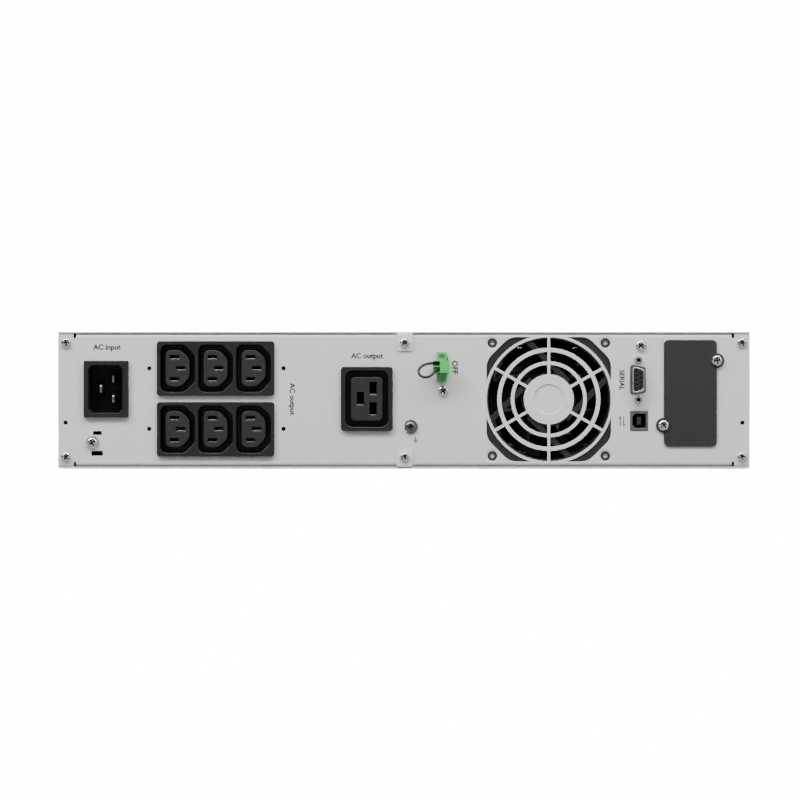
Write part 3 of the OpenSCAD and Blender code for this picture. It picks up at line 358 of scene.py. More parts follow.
def circuit_board(name, colour):
    """Solder mask over copper tracks, with rows of small pads."""
    made, shader, add, link = new_material(name)
    set_inputs(shader, Roughness=0.35, Coat_Weight=0.4)
    where = add("ShaderNodeTexCoord")
    tracks = add(
        "ShaderNodeTexBrick", Scale=90.0, Mortar_Size=0.05, Color1=(*colour, 1),
        Color2=(*[c * 0.8 for c in colour], 1),
        Mortar=(*[min(1, c * 1.9 + 0.02) for c in colour], 1))
    link(where.outputs["Object"], tracks.inputs["Vector"])
    pads = add("ShaderNodeTexVoronoi", Scale=220.0, Randomness=0.15)
    link(where.outputs["Object"], pads.inputs["Vector"])
    dots = add("ShaderNodeMath", operation="LESS_THAN")
    dots.inputs[1].default_value = 0.16
    link(pads.outputs["Distance"], dots.inputs[0])
    mix = add("ShaderNodeMix", data_type="RGBA")
    link(dots.outputs[0], mix.inputs["Factor"])
    link(tracks.outputs["Color"], mix.inputs[6])
    mix.inputs[7].default_value = (0.55, 0.56, 0.55, 1)
    link(mix.outputs[2], shader.inputs["Base Color"])
    link(dots.outputs[0], shader.inputs["Metallic"])
    bump = add("ShaderNodeBump", Strength=0.4, Distance=0.00005)
    link(tracks.outputs["Fac"], bump.inputs["Height"])
    link(bump.outputs["Normal"], shader.inputs["Normal"])
    return made


def clear_window(name):
    """Tinted clear plastic."""
    made = finish(name, (0.45, 0.50, 0.52), 0.04, grain=600, relief=1, scuff=0.02)
    set_inputs(made.node_tree.nodes["Principled BSDF"], Transmission_Weight=0.85, IOR=1.49)
    return made


def make_materials(colours):
    """Every material of the object, by the record's slot or by a short name."""
    return {
        "panel_paint": finish("panel_powder_coat", colours.panel, 0.46, mottle=0.02, cloud=9,
            grain=1500, relief=22, scuff=0.05),
        "painted_steel": finish("case_powder_coat", colours.case, 0.45, mottle=0.02, cloud=7,
            grain=1500, relief=20, scuff=0.05),
        "plain_steel": galvanised("zinc_coated_sheet", (0.52, 0.53, 0.54)),
        "nylon": finish("white_nylon", (0.72, 0.71, 0.67), 0.4, relief=10),
        "front_plastic": finish("front_moulding", colours.front, 0.42, mottle=0.08, cloud=20,
            grain=2600, relief=30, scuff=0.05),
        "black_sheet": finish("cover_black_paint", (0.0078, 0.0076, 0.0077), 0.62, mottle=0.1,
            cloud=60, grain=1300, relief=50, scuff=0.05, speck=0.35),
        "socket_plastic": finish("socket_frame_plastic", colours.socket, 0.36, mottle=0.07,
            cloud=40, grain=2200, relief=12, scuff=0.07),
        "socket_core_plastic": finish("socket_core_plastic", colours.core, 0.44, mottle=0.06,
            cloud=40, grain=2200, relief=14, scuff=0.06),
        "contact_metal": finish("plated_blades", (0.40, 0.39, 0.36), 0.26, metallic=1, mottle=0.08,
            cloud=120, stretch=(1, 0.15, 1), grain=2500, relief=6),
        "brass": finish("contact_brass", (0.58, 0.44, 0.18), 0.3, metallic=1, mottle=0.1,
            cloud=100, stretch=(1, 0.15, 1)),
        "green_plastic": finish("green_moulding", colours.plug, 0.4, mottle=0.05, cloud=120,
            grain=2200, relief=10),
        "wire_rubber": finish("black_wire_sleeve", (0.0035, 0.0035, 0.0035), 0.5, mottle=0.1,
            cloud=300, grain=3000, relief=10),
        "shell_metal": finish("tinned_shell", (0.66, 0.64, 0.58), 0.24, metallic=1, mottle=0.07,
            cloud=160, grain=2400, relief=8),
        "insulator": finish("port_insulator", (0.007, 0.007, 0.0085), 0.45, cloud=200),
        "jack_metal": finish("jack_nickel", (0.62, 0.60, 0.55), 0.25, metallic=1, mottle=0.1,
            cloud=260, grain=2600, relief=8),
        "circuit_board": circuit_board("green_board", (0.008, 0.075, 0.03)),
        "nickel": finish("bright_nickel", (0.74, 0.73, 0.70), 0.09, metallic=1, mottle=0.08,
            cloud=300, grain=2600, relief=10, scuff=0.05),
        "ground_metal": finish("dull_zinc", (0.22, 0.218, 0.215), 0.27, metallic=1, mottle=0.1,
            cloud=300, grain=2600, relief=12, scuff=0.08),
        "fan_screw_black": finish("blackened_steel", (0.06, 0.06, 0.062), 0.32, metallic=0.7,
            mottle=0.12, cloud=300),
        "fan_plastic": finish("fan_frame_plastic", [c * 3 for c in colours.fan], 0.34, mottle=0.1,
            cloud=70, grain=1500, relief=8),
        "fan_blade_plastic": finish("fan_blade_plastic", colours.fan, 0.17, mottle=0.1, cloud=60,
            grain=900, relief=6, scuff=0.05),
        "winding": finish("copper_winding", (0.46, 0.17, 0.06), 0.35, metallic=0.85, cloud=80,
            grain=900, relief=200, stretch=(1, 1, 8)),
        "battery_case": finish("battery_case", (0.045, 0.05, 0.055), 0.5, mottle=0.1, grain=1800,
            relief=30),
        "connector_blue": finish("blue_connector", (0.03, 0.11, 0.42), 0.35, grain=1800),
        "connector_grey": finish("grey_connector", (0.08, 0.08, 0.085), 0.4, grain=1800),
        "window_glass": clear_window("display_window_clear"),
        "lcd_glass": finish("display_glass", (0.03, 0.045, 0.055), 0.12, cloud=40, relief=1,
            coat=0.3),
        "button_plastic": finish("button_rubber", (0.11, 0.115, 0.12), 0.5, mottle=0.08, cloud=120,
            grain=2400, relief=20),
        "standoff_brass": finish("pillar_brass", (0.6, 0.47, 0.2), 0.3, metallic=1),
        "heatsink_aluminium": finish("extruded_aluminium", (0.50, 0.51, 0.53), 0.34, metallic=0.9,
            mottle=0.06, cloud=60, stretch=(1, 0.05, 1), grain=1500, relief=20),
        "capacitor_sleeve": finish("capacitor_sleeve", (0.02, 0.024, 0.035), 0.3, cloud=50),
        "lead_insulation": finish("lead_insulation", (0.20, 0.10, 0.05), 0.4, cloud=80),
        "ink": finish("printed_ink", colours.ink, 0.55, mottle=0.08, cloud=300, grain=3000,
            relief=4),
        "bright_steel": finish("turned_steel", (0.72, 0.72, 0.71), 0.2, metallic=1, mottle=0.06,
            cloud=260, grain=2200, relief=10),
        "spring_steel": finish("contact_lips", (0.30, 0.295, 0.28), 0.3, metallic=1, mottle=0.08,
            cloud=260, grain=2200, relief=10),
        # Grey shell metal of the data port; on the serial port's faces behind the panel it is
        # painted shade
        "port_metal": finish("grey_shell", (0.22, 0.22, 0.22), 0.32, metallic=0.9, cloud=200,
            grain=2200),
        "tongue": finish("port_tongue", (0.018, 0.018, 0.018), 0.4, cloud=200, grain=2400),
        # Painted shade: near-black put on the floors of the screw crosses, the inlet's cavity
        # floor, the jack screws' bores and the data port's inside
        "recess": finish("shaded_recess", (0.0035, 0.0035, 0.0035), 0.6, cloud=200),
        "display_ink": finish("display_segments", (0.42, 0.55, 0.58), 0.4, cloud=200, grain=3000,
            relief=2),
        "front_ink": finish("front_printing", (0.42, 0.43, 0.44), 0.5, cloud=200, grain=3000,
            relief=4),
    }


LIBRARY = {}


# -------- shapes


def placed(name, data):
    """A new object in the scene."""
    made = bpy.data.objects.new(name, data)
    bpy.context.scene.collection.objects.link(made)
    return made


def finished(name, shape, body, slot, *nodes, material=None, inner=None, flat_shading=False,
             crease=38.0):
    """Makes the bmesh a piece: shaded, with its material, riding on its body."""
    for face in shape.faces:
        face.smooth = not flat_shading
    for edge in shape.edges:
        edge.smooth = edge.is_manifold and edge.calc_face_angle(0.0) < math.radians(crease)
    mesh = bpy.data.meshes.new(name)
    shape.to_mesh(mesh)
    shape.free()
    piece = placed(name, mesh)
    mesh.materials.append(LIBRARY[material or slot])
    if inner:
        mesh.materials.append(LIBRARY[inner])
    if not flat_shading:
        weigh = piece.modifiers.new("weighted_normals", "WEIGHTED_NORMAL")
        weigh.keep_sharp = True
    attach(piece, body)
    if nodes:
        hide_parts(*nodes)
    return piece


def merged_copy(node):
    """A copy of a CAD node with its loose triangles joined into flat faces."""
    shape = bmesh.new()
    shape.from_mesh(NODES[node].data)
    bmesh.ops.remove_doubles(shape, verts=shape.verts, dist=2e-6)
    bmesh.ops.dissolve_limit(
        shape, angle_limit=math.radians(0.6), verts=shape.verts, edges=shape.edges)
    return shape


def round_edges(shape, width, segments=2, angle=35.0, only=None):
    """Rounds the edges sharper than an angle, or those of them that a test picks."""
    edges = [
        e for e in shape.edges
        if e.is_manifold and e.calc_face_angle(0.0) > math.radians(angle)
        and (only is None or only(e))]
    if edges:
        bmesh.ops.bevel(
            shape, geom=edges, offset=width, offset_type="OFFSET", segments=segments,
            profile=0.5, affect="EDGES", clamp_overlap=False, material=-1, loop_slide=True)
    return shape


def cut(shape, at, across):
    """Cuts every face along a plane and keeps both sides."""
    bmesh.ops.bisect_plane(
        shape, geom=shape.verts[:] + shape.edges[:] + shape.faces[:], plane_co=at,
        plane_no=across)


def bend(shape, front, edge, radius, low_x, high_x):
    """Rolls a sheet's flat face at the place front over its upper or lower edge."""
    side = 1 if edge > MIDDLE_Z else -1
    steps = 6
    for i in range(steps):
        level = edge - side * radius * (1 - math.sin(math.pi / 2 * i / steps))
        cut(shape, (0, 0, level), (0, 0, 1))
    skin = 0.6 * SHEET * MM
    for v in shape.verts:
        rise = side * (v.co.z - edge) + radius
        if rise > 0 and low_x <= v.co.x <= high_x and abs(v.co.y - front) < skin:
            v.co.y += radius - math.sqrt(max(0.0, radius ** 2 - rise ** 2))


def softened(node, width, body, slot, segments=2, material=None, inner=None, inside=None):
    """A CAD node's shape with its edges rounded, in place of the node.

    Faces whose middle passes the test named inside take the inner material, which the callers use
    to paint shade into hollows and behind the panel."""
    shape = round_edges(merged_copy(node), width, segments)
    if inside:
        for face in shape.faces:
            face.material_index = int(inside(face.calc_center_median()))
    return finished(
        node + "_shape", shape, body, slot, node, material=material, inner=inner)


def stamp(shape, part, matrix):
    """Adds a copy of another shape, moved by a matrix."""
    mesh = bpy.data.meshes.new("stamp")
    part.to_mesh(mesh)
    mesh.transform(matrix)
    shape.from_mesh(mesh)
    bpy.data.meshes.remove(mesh)


def lathe(shape, profile, steps=40):
    """Turns a profile of (radius, height) points in mm round the local Z axis."""
    points = [shape.verts.new((r * MM, 0, h * MM)) for r, h in profile]
    edges = [shape.edges.new(pair) for pair in zip(points, points[1:])]
    bmesh.ops.spin(
        shape, geom=points + edges, cent=(0, 0, 0), axis=(0, 0, 1), dvec=(0, 0, 0),
        angle=2 * math.pi, steps=steps, use_merge=True)
    bmesh.ops.remove_doubles(shape, verts=shape.verts, dist=1e-7)
    bmesh.ops.recalc_face_normals(shape, faces=shape.faces)


def turned(group, profile, move, steps=40):
    """Adds a shape turned from (radius, height) points in mm, moved by a matrix."""
    part = bmesh.new()
    lathe(part, profile, steps)
    stamp(group, part, move)
    part.free()


def rotation(degrees, axis="Z"):
    return Matrix.Rotation(math.radians(degrees), 4, axis)


def facing_back(centre, turn=0.0):
    """Puts a shape drawn upright on Z at centre, with its top towards the back."""
    return Matrix.Translation(centre) @ rotation(90, "X") @ rotation(turn)


def facing_front(centre, turn=0.0):
    """Puts a shape drawn upright on Z at centre, with its top towards the front."""
    return Matrix.Translation(centre) @ rotation(-90, "X") @ rotation(turn)


def cross_head(wide, high, shank_radius, shank):
    """Screw with a domed head and a cross recess, its seat at Z = 0; sizes in mm."""
    radius, height = wide * MM, high * MM
    shoulder, recess, cells = 0.55, 0.68, 12
    shape = bmesh.new()
    bmesh.ops.create_grid(shape, x_segments=cells, y_segments=cells, size=1.0)
    arm = 1.2 / cells
    cross = []
    for face in shape.faces:
        c = face.calc_center_median()
        if min(abs(c.x), abs(c.y)) < arm and max(abs(c.x), abs(c.y)) < recess:
            cross.append(face)
    for v in shape.verts:
        x, y = v.co.x, v.co.y
        v.co.x = x * math.sqrt(1 - y * y / 2) * radius
        v.co.y = y * math.sqrt(1 - x * x / 2) * radius
        reach = min(1.0, v.co.xy.length / radius)
        v.co.z = height * (shoulder + (1 - shoulder) * math.sqrt(max(0.0, 1 - reach ** 3.2)))
    for slope, sink in ((0.03, 0.06), (0.045, 0.55)):
        bmesh.ops.inset_region(
            shape, faces=cross, thickness=radius * slope, depth=-height * sink,
            use_even_offset=True)
    # The recess floors take the second, near-black material: painted shade in the cross
    for face in cross:
        face.material_index = 1
    rim = [e for e in shape.edges if e.is_boundary]
    for drop, grow in ((0.02, 1.0), (0.0, 0.985)):
        made = bmesh.ops.extrude_edge_only(shape, edges=rim)
        ring = [g for g in made["geom"] if isinstance(g, bmesh.types.BMVert)]
        for v in ring:
            v.co.z = height * drop
            v.co.x *= grow
            v.co.y *= grow
        rim = [
            g for g in made["geom"] if isinstance(g, bmesh.types.BMEdge) and g.is_boundary]
    bmesh.ops.holes_fill(shape, edges=rim, sides=0)
    bmesh.ops.recalc_face_normals(shape, faces=shape.faces)
    stem = [(0, 0.2), (shank_radius, 0.2), (shank_radius, -shank * 0.92),
            (shank_radius * 0.7, -shank), (0, -shank)]
    turned(shape, stem, Matrix.Identity(4), steps=20)
    return shape


def screws(name, heads, radius, height, shank_radius, shank, slot, node, flange=None):
    """A group of like screws on the back; a flange is turned from (radius, height) points."""
    group = bmesh.new()
    part = cross_head(radius, height, shank_radius, shank)
    for x, z, out, turn in heads:
        stamp(group, part, facing_back(place(x, out, z), turn))
        if flange:
            turned(group, flange, facing_back(place(x, 0, z)))
    part.free()
    finished(name, group, "case", slot, node, inner="recess")


def lettering(name, text, length, where, material, slot):
    """Flat word with a little thickness on the case; length is its size along the text."""
    curve = bpy.data.curves.new(name, "FONT")
    curve.body = text
    curve.align_x = "CENTER"
    curve.align_y = "CENTER"
    curve.resolution_u = 3
    curve.offset = LETTER_WEIGHT
    source = placed(name + "_source", curve)
    bpy.context.view_layer.update()
    mesh = bpy.data.meshes.new_from_object(source)
    bpy.data.objects.remove(source)
    shape = bmesh.new()
    shape.from_mesh(mesh)
    bpy.data.meshes.remove(mesh)
    xs = [v.co.x for v in shape.verts]
    ys = [v.co.y for v in shape.verts]
    scale = length / (max(xs) - min(xs))
    middle = Vector(((max(xs) + min(xs)) / 2, (max(ys) + min(ys)) / 2, 0))
    shape.transform(Matrix.Scale(scale, 4) @ Matrix.Translation(-middle))
    bmesh.ops.remove_doubles(shape, verts=shape.verts, dist=1e-7)
    thick = bpy.context.scene.rack_detail.letter
    made = bmesh.ops.extrude_face_region(shape, geom=list(shape.faces), use_keep_orig=True)
    top = [g for g in made["geom"] if isinstance(g, bmesh.types.BMVert)]
    bmesh.ops.translate(shape, verts=top, vec=(0, 0, thick))
    bmesh.ops.recalc_face_normals(shape, faces=shape.faces)
    shape.transform(where)
    finished(name, shape, "case", slot, material=material, flat_shading=True)


def bar_sign(name, bars, where, slot, material):
    """A sign made of thin bars: middle x, middle y, width, height, turn; in mm."""
    thick = bpy.context.scene.rack_detail.letter
    shape = bmesh.new()
    for x, y, wide, high, lean in bars:
        move = (
            where @ Matrix.Translation((x * MM, y * MM, thick / 2)) @ rotation(lean)
            @ Matrix.Diagonal((wide * MM, high * MM, thick, 1)))
        bmesh.ops.create_cube(shape, size=1.0, matrix=move)
    finished(name, shape, "case", slot, material=material, flat_shading=True)


# -------- stage and light


class RACK_OT_stage(Operator):
    """Makes the camera, the pale floor and the studio lights"""

    bl_idname = "rack.stage"
    bl_label = "Stage"

    def execute(self, context):
        scene = context.scene
        camera = bpy.data.cameras.new("back_view")
        camera.sensor_width = 36.0
        camera.lens = LENS
        camera.clip_start = 0.05
        camera.clip_end = 50.0
        eye = placed("back_view", camera)
        eye.location = (CAMERA_X, PANEL_Y - CAMERA_BACK, MIDDLE_Z)
        eye.rotation_euler = (math.radians(90), 0, 0)
        scene.camera = eye

        ground = bmesh.new()
        bmesh.ops.create_circle(ground, cap_ends=True, segments=64, radius=14.0)
        mesh = bpy.data.meshes.new("floor")
        ground.to_mesh(mesh)
        ground.free()
        floor = placed("floor", mesh)
        floor.location = (0, 0, -0.0005)
        mesh.materials.append(self.floor_material())

        self.world(scene)
        for row in LAMPS:
            self.lamp(*row)
        return {"FINISHED"}

    def floor_material(self):
        """Pale matt floor that the camera sees brightly lit, with the object's soft shadow."""
        made, shader, add, link = new_material("pale_floor")
        set_inputs(shader, Base_Color=(0.2, 0.2, 0.2, 1), Roughness=0.9)
        matt = add("ShaderNodeBsdfDiffuse", Color=(14, 14, 14, 1))
        where = add("ShaderNodeTexCoord")
        away = add("ShaderNodeVectorMath", operation="LENGTH")
        link(where.outputs["Object"], away.inputs[0])
        rise = add(
            "ShaderNodeMapRange", interpolation_type="SMOOTHSTEP", From_Min=0.55, From_Max=1.8,
            To_Max=SEEN_WHITE)
        link(away.outputs["Value"], rise.inputs["Value"])
        haze = add("ShaderNodeEmission")
        link(rise.outputs["Result"], haze.inputs["Strength"])
        bright = add("ShaderNodeAddShader")
        link(matt.outputs[0], bright.inputs[0])
        link(haze.outputs[0], bright.inputs[1])
        path = add("ShaderNodeLightPath")
        pick = add("ShaderNodeMixShader")
        link(path.outputs["Is Camera Ray"], pick.inputs[0])
        link(shader.outputs[0], pick.inputs[1])
        link(bright.outputs[0], pick.inputs[2])
        link(pick.outputs[0], made.node_tree.nodes["Material Output"].inputs["Surface"])
        return made

    def world(self, scene):
        """White surroundings; what lights the object is softer than what the camera sees."""
        world = bpy.data.worlds.new("studio")
        scene.world = world
        world.use_nodes = True
        tree = world.node_tree
        back = tree.nodes["Background"]
        path = tree.nodes.new("ShaderNodeLightPath")
        seen = tree.nodes.new("ShaderNodeMapRange")
        set_inputs(seen, To_Min=0.22, To_Max=SEEN_WHITE)
        tree.links.new(path.outputs["Is Camera Ray"], seen.inputs["Value"])
        tree.links.new(seen.outputs["Result"], back.inputs["Strength"])
        back.inputs["Color"].default_value = (1, 1, 1, 1)

    def lamp(self, name, where, target, size, watts):
        data = bpy.data.lights.new(name, "AREA")
        data.shape = "RECTANGLE"
        data.size, data.size_y = size
        data.energy = watts
        lamp = placed(name, data)
        lamp.location = where
        aim = Vector(target) - Vector(where)
        lamp.rotation_euler = aim.to_track_quat("-Z", "Y").to_euler()


# -------- remote-off plug


class RACK_OT_remote_plug(Operator):
    """Makes the remote-off plug with its jumper wire, and the fixed half"""

    bl_idname = "rack.remote_plug"
    bl_label = "Remote-off plug"

    def execute(self, context):
        plug = softened("remote_plug", 0.00035, "plug", "green_plastic", segments=3)
        softened("remote_header", 0.0002, "case", "green_plastic")
        curve = bpy.data.curves.new("jumper_wire_sleeve", "CURVE")
        curve.dimensions = "3D"
        curve.bevel_depth = 0.00085
        curve.bevel_resolution = 4
        curve.resolution_u = 6
        curve.use_fill_caps = True
        line = curve.splines.new("BEZIER")
        line.bezier_points.add(len(JUMPER_ROUTE) - 1)
        for point, spot in zip(line.bezier_points, JUMPER_ROUTE):
            point.co = place(*spot)
            point.handle_left_type = point.handle_right_type = "AUTO"
        wire = placed("jumper_wire_sleeve", curve)
        curve.materials.append(LIBRARY["wire_rubber"])
        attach(wire, "plug")
        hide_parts("jumper_wire")
        return {"FINISHED"}


# -------- case


class RACK_OT_case(Operator):
    """Makes the folded sheet metal of the case, with rounded folds"""

    bl_idname = "rack.case"
    bl_label = "Case"

    def execute(self, context):
        detail = context.scene.rack_detail
        self.rear_panel(detail)
        self.tabbed("chassis_base", detail)
        self.tabbed("top_cover", detail)
        softened("slot_cover", 0.0003, "case", "black_sheet")
        return {"FINISHED"}

    def rear_panel(self, detail):
        low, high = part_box("rear_panel")
        shape = merged_copy("rear_panel")

        def along_fold(edge):
            return (edge.verts[0].co - edge.verts[1].co).length > 0.1

        def near_hole(edge):
            middle = (edge.verts[0].co + edge.verts[1].co) / 2
            return any(
                (middle - place(x, 0, z)).length < HOLE_NEAR * MM for x, z in SMALL_HOLES)

        def small_hole(edge):
            return near_hole(edge) and all(abs(v.co.y - PANEL_Y) < 1e-5 for v in edge.verts)

        round_edges(shape, detail.hole_edge, segments=3, angle=50.0, only=small_hole)
        round_edges(
            shape, detail.sheet_edge, angle=50.0,
            only=lambda e: not along_fold(e) and not near_hole(e))
        hub = middle_of("fan_frame")
        for v in shape.verts:
            sideways = Vector((v.co.x - hub.x, v.co.z - hub.z))
            if v.co.y > PANEL_Y + 0.3 * MM and abs(sideways.length - DISH_FOOT * MM) < 0.2 * MM:
                v.co.x = hub.x + sideways.x * DISH_WALL
                v.co.z = hub.z + sideways.y * DISH_WALL
                v.co.y += DISH_DEEPER * MM
        reach = FOLD_REACH * MM
        for edge in (low.z, high.z):
            bend(shape, PANEL_Y, edge, detail.fold, -reach, reach)
        finished(
            "rear_panel_shape", shape, "case", "panel_paint", "rear_panel", crease=18.0)

    def tabbed(self, node, detail):
        shape = merged_copy(node)
        low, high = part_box(node)
        edge_z = high.z if node == "top_cover" else low.z

        def over_tab(edge):
            return all(
                v.co.y < PANEL_Y - 0.5 * TAB_OUT * MM and abs(v.co.z - edge_z) < 0.00003
                for v in edge.verts)

        round_edges(shape, detail.sheet_edge, angle=50.0, only=lambda e: not over_tab(e))
        middle, half = CASE_SCREWS[4][0] * MM, TAB_HALF * MM
        bend(shape, low.y, edge_z, detail.tab_fold, middle - half, middle + half)
        finished(node + "_shape", shape, "case", "painted_steel", node)


class RACK_OT_printing(Operator):
    """Prints the words and the signs on the rear panel"""

    bl_idname = "rack.printing"
    bl_label = "Printing"

    def execute(self, context):
        for number, (text, x, z, length, turn) in enumerate(WORDS):
            lettering(
                f"printed_word_{number + 1}", text, length * MM,
                facing_back(place(x, 0, z), turn), "ink", "panel_paint")
        earth, data = place(7.3, 0, -25.4), place(138.0, 0, -13.5)
        bar_sign("earth_sign", EARTH_SIGN, facing_back(earth), "panel_paint", "ink")
        bar_sign("data_sign", DATA_SIGN, facing_back(data, -90), "panel_paint", "ink")
        return {"FINISHED"}


# -------- sockets


class RACK_OT_sockets(Operator):
    """Makes the mains inlet and the seven outlets with soft moulded edges"""

    bl_idname = "rack.sockets"
    bl_label = "Sockets"

    def execute(self, context):
        edge = context.scene.rack_detail.moulded_edge
        for node in ("outlet_bank_upper", "outlet_bank_lower", "large_outlet_housing"):
            softened(node, edge, "case", "socket_plastic", segments=3)
        # The floor of the inlet's cavity takes the near-black recess material: painted shade
        softened("inlet_housing", edge * 0.8, "case", "socket_plastic", segments=3,
                 inner="recess", inside=lambda c: c.y > PANEL_Y + 12 * MM)
        softened("outlet_inserts", edge, "case", "socket_core_plastic", segments=3)
        softened("large_outlet_insert", edge, "case", "socket_core_plastic", segments=3)
        self.blades()
        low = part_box("outlet_contacts")[0]

        def lip(edge):
            a, b = (v.co for v in edge.verts)
            front = abs(a.y - low.y) < 1e-5 and abs(b.y - low.y) < 1e-5
            mates = [f.calc_center_median().z for f in edge.link_faces]
            return front and abs(a.z - b.z) < 1e-5 and max(mates) > a.z - 1e-5

        shape = merged_copy("outlet_contacts")
        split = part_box("large_outlet_insert")[0].x
        round_edges(shape, 0.00065, only=lambda e: lip(e) and e.verts[0].co.x > split)
        round_edges(shape, 0.00022, only=lambda e: lip(e) and e.verts[0].co.x < split)
        finished("outlet_contact_lips", shape, "case", "brass", "outlet_contacts",
                 material="spring_steel")
        return {"FINISHED"}

    def blades(self):
        """The inlet's three blades, narrowed and rounded at their tips."""
        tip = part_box("inlet_pins")[0].y
        shape = merged_copy("inlet_pins")
        cut(shape, (0, tip + BLADE_TIP * MM, 0), (0, 1, 0))
        for face in shape.faces:
            centre = face.calc_center_median()
            if centre.y < tip + 1e-5:
                for v in face.verts:
                    v.co.z = centre.z + (v.co.z - centre.z) * TIP_WIDTH
        round_edges(shape, 0.0008, segments=4)
        finished("inlet_blades", shape, "case", "contact_metal", "inlet_pins")


class RACK_OT_ports(Operator):
    """Makes the serial port, the data port and their screws"""

    bl_idname = "rack.ports"
    bl_label = "Ports"

    def execute(self, context):
        # Faces behind the panel take the darker grey metal: painted shade on the flange seen
        # through the gap round the shell
        softened("serial_shell", 0.00034, "case", "shell_metal", segments=3,
                 inner="port_metal", inside=lambda c: c.y > PANEL_Y)
        softened("serial_insert", 0.00012, "case", "insulator")
        spots = [SERIAL_CENTRE[1] + s * JACK_PITCH / 2 for s in (-1, 1)]
        bores = [place(SERIAL_CENTRE[0], 0, z) for z in spots]
        # The faces of the jack screws' bores take the near-black recess material: painted shade
        softened("jack_screws", 0.00025, "case", "jack_metal", inner="recess",
                 inside=lambda c: c.y > PANEL_Y - 3 * MM and any(
                     (c.xz - b.xz).length < JACK_BORE * MM for b in bores))
        low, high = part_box("usb_shell")
        # The data port's inner faces deeper than 1.2 mm take the near-black recess material:
        # painted shade
        softened("usb_shell", 0.0003, "case", "shell_metal", material="port_metal",
                 inner="recess", inside=lambda c: (
                     c.y > low.y + 1.2 * MM and low.x + 0.6 * MM < c.x < high.x - 0.6 * MM
                     and low.z + 0.6 * MM < c.z < high.z - 0.6 * MM))
        softened("usb_tongue", 0.0003, "case", "insulator", material="tongue")
        return {"FINISHED"}


# -------- fasteners


class RACK_OT_fasteners(Operator):
    """Makes every screw that shows on the back, with its cross recess"""

    bl_idname = "rack.fasteners"
    bl_label = "Fasteners"

    def execute(self, context):
        screws("case_screw_heads", CASE_SCREWS, 3.15, 2.2, 1.5, 7, "nickel", "case_screws")
        screws("panel_screw_heads", PANEL_SCREWS, 3.4, 2.2, 1.5, 7, "nickel", "panel_screws")
        screws("retainer_screw_head", [RETAINER_SCREW], 3.45, 2.4, 2.0, 9, "nickel",
               "retainer_screw", RETAINER_FLANGE)
        screws("earth_screw_head", [EARTH_SCREW], 3.25, 2.3, 2.0, 10, "ground_metal",
               "ground_screw")
        self.washer()
        self.fan_screws()
        return {"FINISHED"}

    def washer(self):
        """Ring with twisted teeth round its edge."""
        shape = bmesh.new()
        turned(shape, EARTH_WASHER, Matrix.Identity(4), steps=48)
        tooth = bmesh.new()
        bmesh.ops.create_cube(
            tooth, size=1.0, matrix=Matrix.Diagonal((1.1 * MM, 0.75 * MM, 0.35 * MM, 1)))
        bmesh.ops.bevel(tooth, geom=list(tooth.edges), offset=0.06 * MM, segments=1, profile=0.5,
                        affect="EDGES", material=-1)
        for i in range(WASHER_TEETH):
            seat = Matrix.Translation((4.25 * MM, 0, 0.5 * MM)) @ rotation(28, "X")
            stamp(shape, tooth, rotation(360 * i / WASHER_TEETH) @ seat)
        tooth.free()
        shape.transform(facing_back(place(EARTH_SCREW[0], 0, EARTH_SCREW[1])))
        finished("earth_washer", shape, "case", "ground_metal", "ground_washer")

    def fan_screws(self):
        """Countersunk black heads whose recess is a bright nickel middle, a painted highlight."""
        shape = bmesh.new()
        bright = bmesh.new()
        for x, z in FAN_SCREWS:
            seat = facing_back(place(x, -SHEET, z))
            turned(shape, FAN_SCREW_RING, seat)
            turned(shape, FAN_SCREW_STEM, seat, steps=24)
            turned(bright, FAN_SCREW_HIGHLIGHT, seat, steps=24)
        finished("fan_screw_rings", shape, "case", "fan_screw_black", "fan_screws")
        finished("fan_screw_painted_highlights", bright, "case", "nickel")


# -------- fan


class RACK_OT_fan(Operator):
    """Makes the fan's frame and its rotor with curved blades"""

    bl_idname = "rack.fan"
    bl_label = "Fan"

    def execute(self, context):
        softened("fan_frame", 0.0004, "case", "fan_plastic")
        self.rotor(context.scene.rack_detail.blades)
        return {"FINISHED"}

    def rotor(self, count):
        low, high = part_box("fan_rotor")
        rim = low.y + 1.6 * MM
        deep = high.y - rim
        shape = bmesh.new()
        base = -deep / MM
        cup = [(0, 0), (CUP_OUTSIDE - 1.6, 0), (CUP_OUTSIDE - 0.4, -0.5), (CUP_OUTSIDE, -1.5),
               (CUP_OUTSIDE, base), (CUP_INSIDE, base), (CUP_INSIDE, -CUP_WALL),
               (SHAFT, -CUP_WALL), (SHAFT, base - SHAFT_OUT), (0, base - SHAFT_OUT)]
        lathe(shape, cup, steps=64)
        shape.transform(Matrix.Translation((0, 0, -deep)) @ rotation(180, "X"))
        blade = self.blade(deep)
        for i in range(count):
            stamp(shape, blade, rotation(360 * i / count))
        blade.free()
        hub = middle_of("fan_frame")
        shape.transform(facing_back(Vector((hub.x, rim, hub.z)), ROTOR_TURN))
        finished("fan_blades", shape, "rotor", "fan_blade_plastic", "fan_rotor", crease=50.0)

    def blade(self, deep):
        """One swept and cambered blade, drawn with the fan's axis on Z."""
        shape = bmesh.new()
        across, along = 10, 8
        bmesh.ops.create_grid(shape, x_segments=across, y_segments=along, size=0.5)
        for v in shape.verts:
            out = v.co.x + 0.5
            chord = v.co.y * 2
            radius = (BLADE_ROOT + BLADE_LENGTH * out) * MM
            swing = math.radians(17 + 7 * out) * chord + math.radians(BLADE_SWEEP) * out * out
            rise = -deep / 2 + chord * (deep * 0.43) * (1 - 0.16 * out)
            rise += BLADE_CAMBER * MM * (1 - chord * chord)
            v.co = Vector((radius * math.cos(swing), radius * math.sin(swing), rise))
        bmesh.ops.solidify(shape, geom=list(shape.faces), thickness=BLADE_THICK * MM)
        bmesh.ops.recalc_face_normals(shape, faces=shape.faces)
        return shape


# -------- front and drawer


